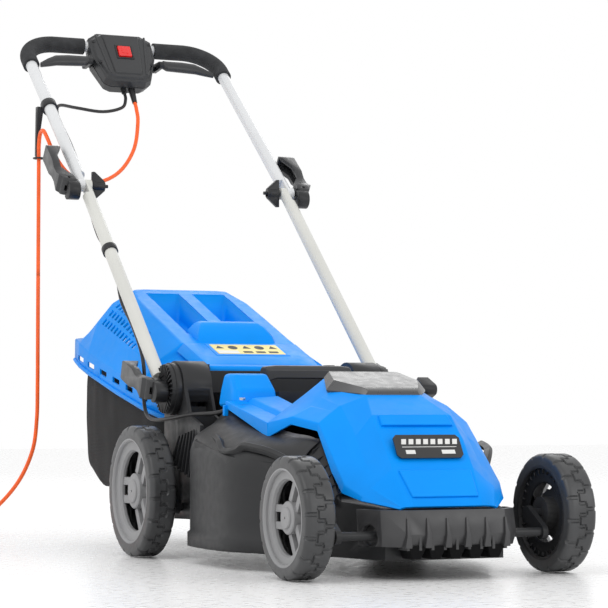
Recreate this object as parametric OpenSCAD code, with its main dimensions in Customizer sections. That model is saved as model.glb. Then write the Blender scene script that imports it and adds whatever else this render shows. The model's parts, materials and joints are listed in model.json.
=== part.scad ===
/* [Deck] */
// Half width of the deck's side bulge
deck_half_w = 203; // [200:1:206]
// Height of the deck's lower edge above the ground
deck_floor_z = 25; // [20:1:32]
// Wall thickness of the moulded shells
wall = 3; // [2.5:0.1:4]
// Distance from the middle of the part to the front wheel axis
front_axle_y = -614; // [-620:1:-590]

/* [Wheels] */
// Radius of a front wheel
front_r = 81.5; // [78:0.5:84]
// Width of a front wheel
front_w = 43; // [36:1:44]
// Half distance between the front wheels' outer faces
front_track = 215; // [213:1:220]
// Radius of a rear wheel
rear_r = 99.5; // [96:0.5:102]
// Width of a rear wheel
rear_w = 42; // [36:1:43]
// Half distance between the rear wheels' outer faces
rear_track = 238; // [236:1:242]
// Distance between the wheel axes
wheelbase = 536; // [530:1:542]
// Radius of the stub axles
axle_r = 6; // [5:0.5:7]
// Length of the crank arms that raise the deck
crank_len = 45; // [40:1:46]

/* [Handle] */
// Height of the lower handle pivot
pivot_z = 255; // [250:1:260]
// Distance of the lower handle pivot behind the front axis
pivot_y = 528; // [524:1:532]
// Slope of the lower tubes
lower_slope = 41.75; // [38:0.25:46]
// Length of a lower tube from its pivot to the fold joint
lower_len = 522; // [500:1:540]
// Slope of the upper handle
upper_slope = 39.25; // [36:0.25:44]
// Length of the upper handle from the fold joint to its cross bar
upper_len = 472; // [450:1:490]
// Radius of the handle tubes
tube_r = 10.5; // [9:0.5:11]
// Bend radius of the upper handle
bend_r = 62; // [55:1:70]
// Slope of the switch box
box_slope = 55; // [50:1:60]

/* [Motor and blade] */
// Distance of the blade axis behind the front axis
blade_y = 243; // [238:1:248]
// Length of the blade
blade_len = 372; // [360:1:376]
// Radius of the rotor shaft
shaft_r = 6; // [5:0.5:8]

/* [Cord] */
// Diameter of the supply cord
cord_d = 7; // [6:0.5:8]
// Diameter of the motor lead
lead_d = 6; // [5:0.5:7]
// Radius of the stored coil at the middle of its turns
coil_mid_r = 62.5; // [55:0.5:63]
// Width of the stored coil's ring
coil_w = 46; // [30:1:48]

/* [Hidden] */

grey = "#3b3d40";
dark = "#232426";
blue = "#0a8cf0";
run = 0.05;
pivot_disc_r = 40;
lap_x = 186.5;
split_y = 395.5;
front_lugs = 15;
rear_lugs = 17;
leg_x = 188;
lower_x = 185;
pin_r = 5;
joint_pin_r = 3;
joint_y = pivot_y + lower_len * cos(lower_slope);
joint_z = pivot_z + lower_len * sin(lower_slope);
bar_y = joint_y + upper_len * cos(upper_slope);
bar_z = joint_z + upper_len * sin(upper_slope);
rear_y = wheelbase;
crank_a = 32;
crank_dy = crank_len * cos(crank_a);
crank_dz = crank_len * sin(crank_a);
blade_z = 52;
chamber_top = 98;
lid_slope = 20.6;
coil_c = [-356.8, 1269.4];
coil_h = 28;

// Everything is drawn from the front wheel axis, then moved so the part is centred
module mower() {
    translate([0, front_axle_y, 0]) children();
}

// s is -1 on the operator's right and 1 on the left
module side(s) {
    mirror([s < 0 ? 1 : 0, 0, 0]) children();
}

module both() {
    children();
    mirror([1, 0, 0]) children();
}

// A cylinder along X from x0 to x1
module xrod(r, x0, x1, y = 0, z = 0, fn = 48) {
    translate([x0, y, z]) rotate([0, 90, 0]) cylinder(r = r, h = x1 - x0, $fn = fn);
}

module block(x, y, z) {
    translate([x[0], y[0], z[0]]) cube([x[1] - x[0], y[1] - y[0], z[1] - z[0]]);
}

// A solid that is symmetric about X = 0. Each level is half an outline, with x > 0
module sym_loft(levels) {
    n = len(levels[0]);
    m = len(levels);
    pts = [for (l = levels) each concat(l, [for (p = l) [-p[0], p[1], p[2]]])];
    function r(k, i) = k * 2 * n + i;
    function l(k, i) = k * 2 * n + n + i;
    right = [for (k = [0:m - 2], i = [0:n - 2]) each [
        [r(k, i), r(k, i + 1), r(k + 1, i + 1)], [r(k, i), r(k + 1, i + 1), r(k + 1, i)]]];
    left = [for (k = [0:m - 2], i = [0:n - 2]) each [
        [l(k, i), l(k + 1, i + 1), l(k, i + 1)], [l(k, i), l(k + 1, i), l(k + 1, i + 1)]]];
    first = [for (k = [0:m - 2]) each [
        [r(k, 0), r(k + 1, 0), l(k + 1, 0)], [r(k, 0), l(k + 1, 0), l(k, 0)]]];
    last = [for (k = [0:m - 2]) each [
        [r(k, n - 1), l(k + 1, n - 1), r(k + 1, n - 1)], [r(k, n - 1), l(k, n - 1), l(k + 1, n - 1)]]];
    low = [for (i = [0:n - 2]) each [
        [r(0, i), l(0, i + 1), r(0, i + 1)], [r(0, i), l(0, i), l(0, i + 1)]]];
    top = [for (i = [0:n - 2]) each [
        [r(m - 1, i), r(m - 1, i + 1), l(m - 1, i + 1)], [r(m - 1, i), l(m - 1, i + 1), l(m - 1, i)]]];
    all = concat(right, left, first, last, low, top);
    polyhedron(points = pts, faces = [for (f = all) [f[0], f[2], f[1]]], convexity = 6);
}

// A solid through rings of points. Each ring turns right-handed about the way the rings advance
module ring_loft(rings) {
    n = len(rings[0]);
    m = len(rings);
    pts = [for (ring = rings) each ring];
    sides = [for (k = [0:m - 2], i = [0:n - 1]) each [
        [k * n + i, (k + 1) * n + (i + 1) % n, k * n + (i + 1) % n],
        [k * n + i, (k + 1) * n + i, (k + 1) * n + (i + 1) % n]]];
    caps = [[for (i = [0:n - 1]) i], [for (i = [n - 1:-1:0]) (m - 1) * n + i]];
    polyhedron(points = pts, faces = concat(sides, caps), convexity = 6);
}

// Cords: a smooth curve through hand-chosen points, swept with a round section
function unit(v) = v / norm(v);
function spline(p, i, t) = let (
    a = p[max(i - 1, 0)], b = p[i], c = p[i + 1], d = p[min(i + 2, len(p) - 1)])
    0.5 * ((2 * b) + (c - a) * t + (2 * a - 5 * b + 4 * c - d) * t * t
    + (3 * b - a - 3 * c + d) * t * t * t);
function curve(p, steps) = concat(
    [for (i = [0:len(p) - 2], k = [0:steps - 1]) spline(p, i, k / steps)], [p[len(p) - 1]]);
function tangent(p, i) = unit(p[min(i + 1, len(p) - 1)] - p[max(i - 1, 0)]);
function carry(n, t) = unit(n - (n * t) * t);
function normals(p, i = 0, prev = [0.3, 0.9, 0.2]) = i >= len(p) ? [] :
    let (n = carry(prev, tangent(p, i))) concat([n], normals(p, i + 1, n));

module cord(route, r, steps, sides = 8) {
    line = curve(route, steps);
    nor = normals(line);
    ring_loft([for (i = [0:len(line) - 1]) let (t = tangent(line, i), n = nor[i], b = cross(t, n))
        [for (k = [0:sides - 1]) line[i] + r * (cos(360 * k / sides) * n + sin(360 * k / sides) * b)]]);
}

/* ---- deck ---- */

deck_plan = [[88, -48], [112, 40], [142, 102], [172, 150], [deck_half_w, 226],
    [deck_half_w, 352], [190, 392], [166, 424]];
deck_mid_z = [92, 100, 146, 150, 158, 178, 172, 165];
deck_top = [[84, -40, 94], [108, 50, 103], [112, 104, 180], [118, 130, 186], [126, 190, 192],
    [132, 340, 215], [132, 375, 218], [132, 414, 218]];
chamber_r = 190;

// The deck's outer levels, or its inner ones when t is the wall thickness
function inset_y(y, t) = y < 0 ? y + t : y > 400 ? y - t : y;
function deck_levels(t) = [
    [for (p = deck_plan) [p[0] - t, inset_y(p[1], t), t == 0 ? deck_floor_z : chamber_top + 4]],
    [for (i = [0:7]) [deck_plan[i][0] - t, inset_y(deck_plan[i][1], t), deck_mid_z[i] + (t == 0 ? 0 : 2)]],
    [for (p = deck_top) [p[0] - t, inset_y(p[1], t), p[2] + t]]];

module ear_wall(x0, x1) {
    translate([x0, 0, 0]) rotate([90, 0, 90]) linear_extrude(x1 - x0)
        polygon([[418, 60], [560, 56], [571, 110], [571, pivot_z], [485, pivot_z], [466, 215], [418, 200]]);
}

module ear() {
    ear_wall(122, 127);
    ear_wall(162, 168);
    for (i = [0:3]) translate([126, 430 + 34 * i, 70]) cube([37, 4, 128 + 15 * i]);
    difference() {
        xrod(43, 122, 168, pivot_y, pivot_z, 96);
        xrod(38.5, 127, 162, pivot_y, pivot_z, 96);
        block([126, 163], [440, 600], [150, pivot_z - 20]);
    }
    xrod(9, 122, 168, pivot_y, pivot_z);
    xrod(14, 122, 168, rear_y - crank_dy, rear_r - crank_dz);
}

module deck_shape() {
    mower() difference() {
        union() {
            difference() {
                sym_loft(deck_levels(0));
                sym_loft(deck_levels(wall));
                translate([0, blade_y, 0]) cylinder(r = chamber_r, h = chamber_top, $fn = 96);
                block([-78, 78], [-45, 60], [0, 86]);
            }
            difference() {
                union() {
                    block([-104, 104], [396, 566], [88, 224]);
                    block([-104, 104], [420.5, 566], [220, 250]);
                }
                block([-100, 100], [400, 600], [92, 220]);
                block([-100, 100], [424.5, 600], [200, 246]);
            }
            both() ear();
            both() xrod(13, 70, 94, -crank_dy, front_r - crank_dz);
            both() block([100, 114], [553, 566], [244, 294]);
            block([-66, 66], [356, 424], [206, 250]);
            xrod(11, 158, 172, 425, 150);
        }
        block([-100, 100], [395, 440], [20, 120]);
        block([-62, 62], [360, 430], [100, 246]);
        translate([0, blade_y, 0]) cylinder(r = 20, h = 150, $fn = 48);
        both() xrod(pin_r + run, 120, 170, pivot_y, pivot_z);
        both() xrod(axle_r + run, 80, 170, rear_y - crank_dy, rear_r - crank_dz);
        both() xrod(axle_r + run, 60, 120, -crank_dy, front_r - crank_dz);
        both() xrod(3, 98, 120, 562, 285);
        xrod(4 + run, 150, 180, 425, 150);
    }
}

// The seat of the carry handle belongs to the rear moulding
module seat_zone() { block([-67, 67], [350, 424], [200, 300]); }

// The moulding is two nodes: the dome over the blade, and the ears with the discharge tunnel
module deck_housing() {
    color(grey) difference() {
        deck_shape();
        mower() block([-260, 260], [split_y, 700], [-10, 400]);
        mower() seat_zone();
    }
}

module rear_housing() {
    color(grey) difference() {
        deck_shape();
        mower() difference() {
            block([-260, 260], [-200, split_y], [-10, 400]);
            seat_zone();
        }
    }
}

bumper_plan = [[40, -85], [74, -84], [100, -62], [114, -18]];

module front_bumper() {
    outer = [[for (p = bumper_plan) [p[0] - 3, p[1] + 4, 44]], [for (p = bumper_plan) [p[0], p[1], 60]],
        [for (p = bumper_plan) [p[0] - 1, p[1] + 6, 92]]];
    inner = [for (l = outer) [for (p = l)
        [p[0] - 4, p[1] + 4 + (p[1] > -30 ? 10 : 0), p[2] + (p[2] > 90 ? 2 : -2)]]];
    color(grey) mower() {
        difference() {
            sym_loft(outer);
            sym_loft(inner);
            both() xrod(15, 80, 130, -crank_dy, front_r - crank_dz);
        }
        for (x = [-72:18:72]) block([x - 2, x + 2], [-84, -58], [40, 62]);
        block([-74, 74], [-80, -56], [56, 59]);
    }
}

/* ---- hood ---- */

// Each row: y, then half the outline from the crown to the lower edge as x, z pairs
hood_rows = [
    [-60, [52, 96], [64, 95.6], [68, 95], [71, 94.4], [73, 93]],
    [-14, [60, 146], [81, 128], [92, 120], [104, 108], [107.6, 103]],
    [16, [61, 183], [86, 152], [97, 142], [118, 124], [121, 112]],
    [50, [60, 216], [85, 187], [98, 177], [117, 155], [121, 140]],
    [105, [42, 243], [83, 229], [94, 221], [115, 205], [117, 194]],
    [160, [54, 259], [86, 241], [102, 228], [131, 214], [133, 203]],
    [205, [56, 272], [88, 248], [112, 231], [149, 205], [150, 184]]];

function hood_ring(row, t) = [for (i = [1:5])
    [row[i][0] - t, row[0], row[i][1] - (i == 5 ? 8 * sign(t) : t * 1.15)]];

module hood_front() {
    difference() {
        sym_loft([for (row = hood_rows) hood_ring(row, 0)]);
        sym_loft([for (row = hood_rows) [for (p = hood_ring(row, wall))
            [p[0], p[1] + (row[0] < -50 ? 6 : row[0] > 200 ? 1 : 0), p[2]]]]);
    }
}

module ledge() {
    top = [[66, 204, 209], [149.5, 204, 205], [149.5, 363, 236], [66, 363, 240]];
    ring_loft([[for (p = top) p - [0, 0, 3]], top]);
    ring_loft([[[146.5, 204, 184], [149.5, 204, 184], [149.5, 363, 226], [146.5, 363, 226]],
        [[146.5, 204, 205], [149.5, 204, 205], [149.5, 363, 236], [146.5, 363, 236]]]);
}

module pod() {
    base = [[70, 349], [134, 349], [140, 362], [140, 418], [70, 418]];
    lid = [[74, 382], [124, 382], [132, 392], [132, 414], [74, 414]];
    difference() {
        ring_loft([[for (p = base) [p[0], p[1], 228]], [for (p = lid) [p[0], p[1], 277]]]);
        ring_loft([[for (p = base) [p[0] + (p[0] > 100 ? -3 : 3), p[1] + (p[1] > 400 ? -3 : 3), 227]],
            [for (p = lid) [p[0] + (p[0] > 100 ? -3 : 3), p[1] + (p[1] > 400 ? -3 : 3), 274]]]);
    }
}

module hood() {
    color(blue) mower() {
        hood_front();
        both() ledge();
        both() pod();
        block([-70, 70], [204, 352], [204, 207]);
        block([-154, -147], [356, 363], [214, 230]);
        both() ring_loft([[[66, 204, 204], [69, 204, 204], [69, 352, 204], [66, 352, 204]],
            [[66, 204, 209], [69, 204, 209], [69, 363, 240], [66, 363, 240]]]);
    }
}

module hood_trim() {
    color(dark) mower() sym_loft(trim_levels);
}

// Half outlines of the trim from its front edge to the rear
trim_levels = [
    [[28, 108, 246], [30, 108.4, 245], [32, 109, 244.6]],
    [[34, 122, 256.5], [38, 122, 254], [44, 121, 248.6]],
    [[40, 150, 264], [48, 150, 261.5], [56, 149, 257.4]],
    [[42, 203.5, 277.5], [52, 203.5, 275.5], [58, 203.5, 272.2]]];

module carry_handle() {
    color(dark) mower() ring_loft([for (x = [-69.6, -52, 52, 69.6])
        let (w = abs(x) > 60 ? 26 : 17, h = abs(x) > 60 ? 22 : 15)
        [[x, 408 - w / 2, 287 - h], [x, 408 + w / 2, 287 - h], [x, 408 + w / 2, 284],
         [x, 408 + w / 3, 287], [x, 408 - w / 3, 287], [x, 408 - w / 2, 283]]]);
}

module front_badge() {
    color("black") mower() translate([0, 4, 171.5]) rotate([58.5, 0, 0]) translate([0, 0, 3])
        linear_extrude(2) difference() {
            square([100, 36], center = true);
            both() translate([50, -18]) rotate(45) square(7, center = true);
            both() translate([50, 18]) rotate(45) square(7, center = true);
        }
}

/* ---- motor and blade ---- */

module motor_can() {
    color("silver") mower() translate([0, blade_y, 0]) difference() {
        union() {
            translate([0, 0, 102.2]) cylinder(r = 52, h = 80, $fn = 64);
            for (a = [45:90:315]) rotate(a) translate([58, 0, 102.2]) cylinder(r = 8, h = 10, $fn = 32);
        }
        translate([0, 0, 108]) cylinder(r = 46, h = 68, $fn = 64);
        translate([0, 0, 100]) cylinder(r = 13, h = 100, $fn = 48);
    }
}

module motor_bearings() {
    color("silver") mower() for (z = [102.2, 176.2]) translate([0, blade_y, z]) difference() {
        cylinder(r = 13, h = 6, $fn = 48);
        translate([0, 0, -1]) cylinder(r = shaft_r + run, h = 8, $fn = 48);
    }
}

module rotor_shaft() {
    color("gray") mower() translate([0, blade_y, 0]) {
        translate([0, 0, 60.3]) cylinder(r = shaft_r, h = 137, $fn = 48);
        translate([0, 0, 114]) cylinder(r = 28, h = 52, $fn = 48);
    }
}

module cooling_fan() {
    color(dark) mower() translate([0, blade_y, 0]) difference() {
        union() {
            translate([0, 0, 186]) cylinder(r = 12, h = 10, $fn = 48);
            translate([0, 0, 186]) cylinder(r = 44, h = 2, $fn = 64);
            for (a = [0:45:315]) rotate(a) translate([11, -1, 186]) cube([32, 2, 10]);
        }
        translate([0, 0, 180]) cylinder(r = shaft_r, h = 40, $fn = 48);
    }
}

module blade_hub() {
    color(dark) mower() translate([0, blade_y, 0]) difference() {
        union() {
            translate([0, 0, blade_z + 4]) cylinder(r = 26, h = 10, $fn = 64);
            translate([0, 0, blade_z + 13]) cylinder(r = 17, h = 25, $fn = 64);
        }
        translate([0, 0, 60.3]) cylinder(r = shaft_r, h = 60, $fn = 48);
        translate([0, 0, 50]) cylinder(r = 4, h = 20, $fn = 32);
    }
}

module blade() {
    color("silver") mower() translate([0, blade_y, blade_z]) difference() {
        union() {
            translate([-blade_len / 2 + 62, -24, 0]) cube([blade_len - 124, 48, 4]);
            for (a = [0, 180]) rotate(a) translate([blade_len / 2 - 64, 0, 0]) {
                translate([0, -24, 0]) cube([60, 26, 4]);
                translate([0, 1, 0]) rotate([18, 0, 0]) cube([58, 22, 4]);
            }
        }
        translate([0, 0, -1]) cylinder(r = 4 + run, h = 8, $fn = 32);
    }
}

module blade_bolt() {
    color("gray") mower() translate([0, blade_y, blade_z]) {
        translate([0, 0, -7]) cylinder(r = 9, h = 7, $fn = 6);
        translate([0, 0, -0.5]) cylinder(r = 4, h = 8.5, $fn = 32);
    }
}

/* ---- fasteners and pins on the deck ---- */

module deck_fasteners() {
    color("gray") mower() {
        for (a = [45:90:315]) translate([0, blade_y, 112.2]) rotate(a) translate([58, 0, 0])
            cylinder(r = 4.5, h = 4, $fn = 32);
        both() translate([136, 330, 237.8]) rotate([11, 0, 0]) cylinder(r = 4.5, h = 2.5, $fn = 32);
    }
}

module flap_pin() {
    color("silver") mower() xrod(3, -116, 116, 562, 285);
}

/* ---- height adjustment ---- */

module height_lever() {
    color(dark) mower() {
        xrod(4, 155, 184, 425, 150);
        xrod(10, 183, 191.5, 425, 150);
        hull() {
            xrod(7, 186.5, 191.5, 425, 150, 32);
            xrod(7, 186.5, 191.5, 380, 244, 32);
        }
        hull() {
            xrod(9, 168, 192, 384, 243, 32);
            xrod(9, 168, 192, 356, 254, 32);
            xrod(5, 172, 188, 372, 268, 32);
        }
    }
}

// A bar across the deck with a crank arm and a stub axle at each end
module cranked_axle(track, arm_x) {
    color("silver") {
        xrod(axle_r, -arm_x - 8, arm_x + 8, -crank_dy, -crank_dz);
        both() hull() {
            xrod(10, arm_x, arm_x + 8, -crank_dy, -crank_dz, 32);
            xrod(10, arm_x, arm_x + 8, 0, 0, 32);
        }
        both() xrod(axle_r, arm_x, track - 13, 0, 0);
        both() xrod(9, track - 13, track - 9, 0, 0);
    }
}

module front_axle() {
    mower() translate([0, 0, front_r]) cranked_axle(front_track, 150);
}

module rear_axle() {
    mower() translate([0, rear_y, rear_r]) cranked_axle(rear_track, 172);
}

/* ---- wheels ---- */

// A tyre with tread lugs, axis along X, outer face at x1
module tyre(r, w, x1, lugs) {
    color("#2b2b2d") {
        translate([x1 - w, 0, 0]) rotate([90, 0, 90]) rotate_extrude($fn = 128)
            polygon([[0.8 * r, 0], [r - 7, 0], [r - 3.5, 3], [r - 3.5, w - 3], [r - 7, w], [0.8 * r, w]]);
        for (k = [0:lugs - 1]) rotate([k * 360 / lugs, 0, 0]) {
            translate([x1 - w + 3.6, -r * 0.07, r * 0.9817 - 5]) cube([w * 0.4, r * 0.14, 5]);
            translate([x1 - 3.6 - w * 0.4, r * 0.05, r * 0.9817 - 5]) cube([w * 0.4, r * 0.14, 5]);
        }
    }
}

// A spoked rim with a hub, a recessed face and a hub cap
module rim(r, w, x1, bore) {
    ro = 0.8 * r;
    hub = 0.27 * r;
    color("#a9aaac") difference() {
        union() {
            translate([x1 - w, 0, 0]) rotate([90, 0, 90]) rotate_extrude($fn = 96)
                polygon([[ro - 4, 0], [ro, 0], [ro, w], [ro - 2, w], [ro - 4, w - 3]]);
            xrod(hub, x1 - w, x1 - 9, 0, 0, 64);
            for (k = [0:2]) rotate([k * 120 + 30, 0, 0]) for (d = [-1, 1])
                translate([x1 - 20, d * 0.14 * r - 0.06 * r, hub - 4]) cube([8, 0.12 * r, ro - hub + 2]);
            xrod(ro - 2, x1 - 26, x1 - 23, 0, 0, 96);
        }
        for (k = [0:2]) rotate([k * 120 + 90, 0, 0]) for (a = [-22, 0, 22])
            rotate([a, 0, 0]) xrod(0.17 * r, x1 - 30, x1 - 22, 0, ro - 0.24 * r, 32);
        xrod(bore, x1 - w - 1, x1 - 12, 0, 0);
        xrod(9.4, x1 - 13.6, x1 - 8.8, 0, 0);
    }
}

module front_wheel(s) { mower() translate([0, 0, front_r]) side(s) children(); }
module rear_wheel(s) { mower() translate([0, rear_y, rear_r]) side(s) children(); }
module front_tyre_right() { front_wheel(-1) tyre(front_r, front_w, front_track, front_lugs); }
module front_tyre_left() { front_wheel(1) tyre(front_r, front_w, front_track, front_lugs); }
module front_rim_right() { front_wheel(-1) rim(front_r, front_w, front_track, axle_r + run); }
module front_rim_left() { front_wheel(1) rim(front_r, front_w, front_track, axle_r + run); }
module rear_tyre_right() { rear_wheel(-1) tyre(rear_r, rear_w, rear_track, rear_lugs); }
module rear_tyre_left() { rear_wheel(1) tyre(rear_r, rear_w, rear_track, rear_lugs); }
module rear_rim_right() { rear_wheel(-1) rim(rear_r, rear_w, rear_track, axle_r + run); }
module rear_rim_left() { rear_wheel(1) rim(rear_r, rear_w, rear_track, axle_r + run); }

/* ---- lower handle ---- */

// Children are drawn along +Y from the lower pivot, or from the fold joint
module lower_frame() { translate([0, pivot_y, pivot_z]) rotate([lower_slope, 0, 0]) children(); }
module upper_frame() { translate([0, joint_y, joint_z]) rotate([upper_slope, 0, 0]) children(); }

module yrod(r, y0, y1, x = 0, z = 0, fn = 48) {
    translate([x, y0, z]) rotate([-90, 0, 0]) cylinder(r = r, h = y1 - y0, $fn = fn);
}

module lower_tube() {
    color("#dcd9cf") mower() lower_frame() difference() {
        union() {
            yrod(tube_r, 27, lower_len, lower_x);
            translate([lower_x, lower_len, 0]) rotate([0, 90, 0])
                cylinder(r = tube_r, h = 2 * tube_r, center = true, $fn = 48);
        }
        block([lap_x - 0.15, 220], [lower_len - 30, lower_len + 30], [-20, 20]);
        yrod(tube_r - 1.5, 30, lower_len - 34, lower_x);
        xrod(joint_pin_r + run, 150, 220, lower_len);
    }
}

module lower_tube_right() { side(-1) lower_tube(); }
module lower_tube_left() { side(1) lower_tube(); }

// The toothed disc at the lower pivot, with the socket that holds the tube
module pivot_disc() {
    color(dark) mower() lower_frame() difference() {
        union() {
            xrod(pivot_disc_r, 168.4, 178, 0, 0, 96);
            xrod(pivot_disc_r - 2, 178, 184.5, 0, 0, 96);
            for (k = [0:29]) rotate([k * 12, 0, 0]) translate([177, -1.2, 20]) cube([10, 2.4, 17]);
            xrod(16, 178, 187.5, 0, 0, 64);
        }
        yrod(tube_r + run, 26.5, 60, lower_x);
        xrod(pin_r + run, 160, 200, 0, 0);
    }
}

module pivot_disc_right() { side(-1) pivot_disc(); }
module pivot_disc_left() { side(1) pivot_disc(); }

// A clamp bolt whose eye carries the lever's cross pin, with a rounded saddle behind the lever
module clamp_bolt(r, x0, x1, a) {
    xrod(r, x0, x1 + cam_dx, 0, 0);
    rotate([a, 0, 0]) {
        translate([x1 + cam_dx, 0, -13]) cylinder(r = cross_pin_r, h = 26, $fn = 32);
        difference() {
            union() {
                xrod(11, x1 - 3.4, x1 - 0.2, 0, 0);
                xrod(16, x1 - 3.4, x1 + 16, -16, 0, 64);
            }
            xrod(r + run, x1 - 10, x1 + 5, 0, 0);
            translate([x1 + cam_dx, 0, -20]) cylinder(r = cam_r + 0.7, h = 40, $fn = 48);
            block([x1 + 0.2, x1 + 30], [-6, 10], [-20, 20]);
        }
    }
}

module handle_bolts() {
    color("silver") mower() both() {
        translate([0, joint_y, joint_z]) clamp_bolt(joint_pin_r, 144, joint_lever_x, joint_lever_a);
        translate([0, pivot_y, pivot_z]) clamp_bolt(pin_r, 117, pivot_lever_x, pivot_lever_a);
        xrod(9, 112, 117.5, pivot_y, pivot_z);
    }
}

module lead_clip() {
    color(dark) mower() lower_frame() side(-1) translate([0, 338, 0]) difference() {
        union() {
            yrod(tube_r + 2.4, 0, 12, lower_x, 0, 48);
            translate([171, 0, -24.5]) cube([12, 12, 16.5]);
        }
        yrod(tube_r + run, -1, 13, lower_x, 0, 48);
        yrod(lead_d / 2 + 0.4, -1, 13, 177, -19.6, 32);
    }
}

// A quick lever: a cam on a cross pin at x0 + cam_dx, with a long paddle along +Y
lever_profile = [[1.5, 3], [3, 22], [15, 42], [15, 72], [3, 97], [3, 116], [12, 124], [22, 118], [28, 102],
    [28, 6], [23.4, 0]];
lever_outline = [[-12, -13], [-12, 13], [-4, 16], [8, 16], [24, 10], [40, 10], [56, 15], [98, 15],
    [112, 8], [112, -8], [98, -15], [56, -15], [40, -10], [24, -10], [8, -16], [-4, -16]];
cam_dx = 12;
cam_r = 11.5;
cross_pin_r = 2.5;
eye_slot = 5.4;

module quick_lever(x0) {
    color("#38393b") difference() {
        intersection() {
            union() {
                translate([x0, 0, -16]) linear_extrude(32) polygon(lever_profile);
                translate([x0 + cam_dx, 0, -16]) cylinder(r = cam_r, h = 32, $fn = 48);
            }
            translate([x0, 0, 0]) rotate([90, 0, 90]) linear_extrude(30) polygon(lever_outline);
        }
        block([x0 - 1, x0 + 19], [-20, 6], [-eye_slot, eye_slot]);
        block([x0 - 1, x0 + 24], [22, 106], [-7.5, 7.5]);
        translate([x0 + cam_dx, 0, -20]) cylinder(r = cross_pin_r + run, h = 40, $fn = 32);
    }
}

pivot_lever_x = 192;
joint_lever_x = 204;
pivot_lever_a = 18;
joint_lever_a = 38.4;

module pivot_lever() {
    mower() translate([0, pivot_y, pivot_z]) rotate([pivot_lever_a, 0, 0]) quick_lever(pivot_lever_x);
}

module joint_lever() {
    mower() translate([0, joint_y, joint_z]) rotate([joint_lever_a, 0, 0]) quick_lever(joint_lever_x);
}

module pivot_lever_right() { side(-1) pivot_lever(); }
module pivot_lever_left() { side(1) pivot_lever(); }
module joint_lever_right() { side(-1) joint_lever(); }
module joint_lever_left() { side(1) joint_lever(); }

wing_profile = [[150, -8], [168, -24], [172.2, -24], [172.2, 24], [168, 24], [150, 8]];

module wing_knob() {
    color(dark) mower() translate([0, joint_y, joint_z]) difference() {
        union() {
            xrod(8, 150, 172.2, 0, 0, 48);
            translate([0, 4, 0]) rotate([90, 0, 0]) linear_extrude(8) polygon(wing_profile);
        }
        xrod(joint_pin_r + run, 140, 175, 0);
    }
}

module wing_knob_right() { side(-1) wing_knob(); }
module wing_knob_left() { side(1) wing_knob(); }

/* ---- upper handle ---- */

drain_r = 2;

module upper_tube() {
    bend_x = leg_x - bend_r;
    bend_y = upper_len - bend_r;
    color("#e4e5e6") mower() upper_frame() difference() {
        union() {
            both() yrod(tube_r, 0, bend_y, leg_x);
            both() xrod(tube_r + 0.5, lap_x, leg_x + tube_r);
            both() translate([bend_x, bend_y, 0]) rotate_extrude(angle = 90, $fn = 96)
                translate([bend_r, 0]) circle(r = tube_r, $fn = 48);
            xrod(tube_r, -bend_x, bend_x, upper_len);
        }
        both() block([150, lap_x + 0.15], [-30, 30], [-20, 20]);
        both() xrod(joint_pin_r + run, 150, 220);
        both() yrod(tube_r - 1.5, 33, bend_y, leg_x);
        both() translate([bend_x, bend_y, 0]) rotate_extrude(angle = 90, $fn = 96)
            translate([bend_r, 0]) circle(r = tube_r - 1.5, $fn = 48);
        xrod(tube_r - 1.5, -bend_x, bend_x, upper_len);
        both() translate([leg_x, 40, -20]) cylinder(r = drain_r, h = 20, $fn = 32);
    }
}

module grip() {
    bend_x = leg_x - bend_r;
    bend_y = upper_len - bend_r;
    color("#2f3032") mower() upper_frame() difference() {
        union() {
            yrod(15, bend_y - 20, bend_y, leg_x);
            translate([bend_x, bend_y, 0]) rotate_extrude(angle = 90, $fn = 96)
                translate([bend_r, 0]) circle(r = 15, $fn = 48);
            xrod(15, 69, bend_x, upper_len);
        }
        yrod(tube_r + run, bend_y - 30, bend_y, leg_x);
        translate([bend_x, bend_y, 0]) rotate_extrude(angle = 90, $fn = 96)
            translate([bend_r, 0]) circle(r = tube_r + run, $fn = 48);
        xrod(tube_r + run, 50, bend_x, upper_len);
    }
}

module grip_right() { side(-1) grip(); }
module grip_left() { side(1) grip(); }

/* ---- switch box ---- */

box_outline = [[-63, 10], [-63, -34], [-46, -90], [-34, -97], [34, -97], [46, -90], [63, -34], [63, 10],
    [44, 24], [-44, 24]];
box_front = 20;
box_back = -24;
box_split = 0;
lever_y = -35;
lever_z = -12;
button_y = -29;

module box_frame() { translate([0, bar_y, bar_z]) rotate([box_slope, 0, 0]) children(); }

// The box tapers towards its face by t at height z1
module box_solid(z0, z1, t0, t1) {
    ring_loft([[for (p = box_outline) [p[0] - sign(p[0]) * t0, p[1] - sign(p[1] + 40) * t0, z0]],
        [for (p = box_outline) [p[0] - sign(p[0]) * t1, p[1] - sign(p[1] + 40) * t1, z1]]]);
}

module switch_box_cover() {
    color(dark) mower() box_frame() difference() {
        union() {
            box_solid(box_split + 0.1, 14, 0, 1.5);
            box_solid(13.9, box_front, 5, 9);
        }
        box_solid(box_split - 1, 11, 3, 4.5);
        box_solid(10, box_front - 3, 9, 12);
        xrod(tube_r + run, -80, 80, 0, 0);
        block([-9.3, 9.3], [button_y - 10.3, button_y + 10.3], [0, 40]);
    }
}

module switch_box_base() {
    color(dark) mower() box_frame() difference() {
        box_solid(box_back, box_split - 0.1, 6, 0);
        box_solid(box_back + 3, box_split + 1, 9, 3);
        xrod(tube_r + run, -80, 80, 0, 0);
        xrod(5 + run, -80, 80, lever_y, lever_z);
    }
}

module switch_block() {
    color("white") mower() box_frame() difference() {
        block([-16, 16], [-50, -12], [-4, 8]);
        xrod(6.5, -80, 80, lever_y, lever_z);
    }
}

module lock_button() {
    color("red") mower() box_frame() {
        block([-9, 9], [button_y - 10, button_y + 10], [14, 26]);
        block([-11, 11], [button_y - 12, button_y + 12], [12.6, 14.2]);
    }
}

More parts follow.
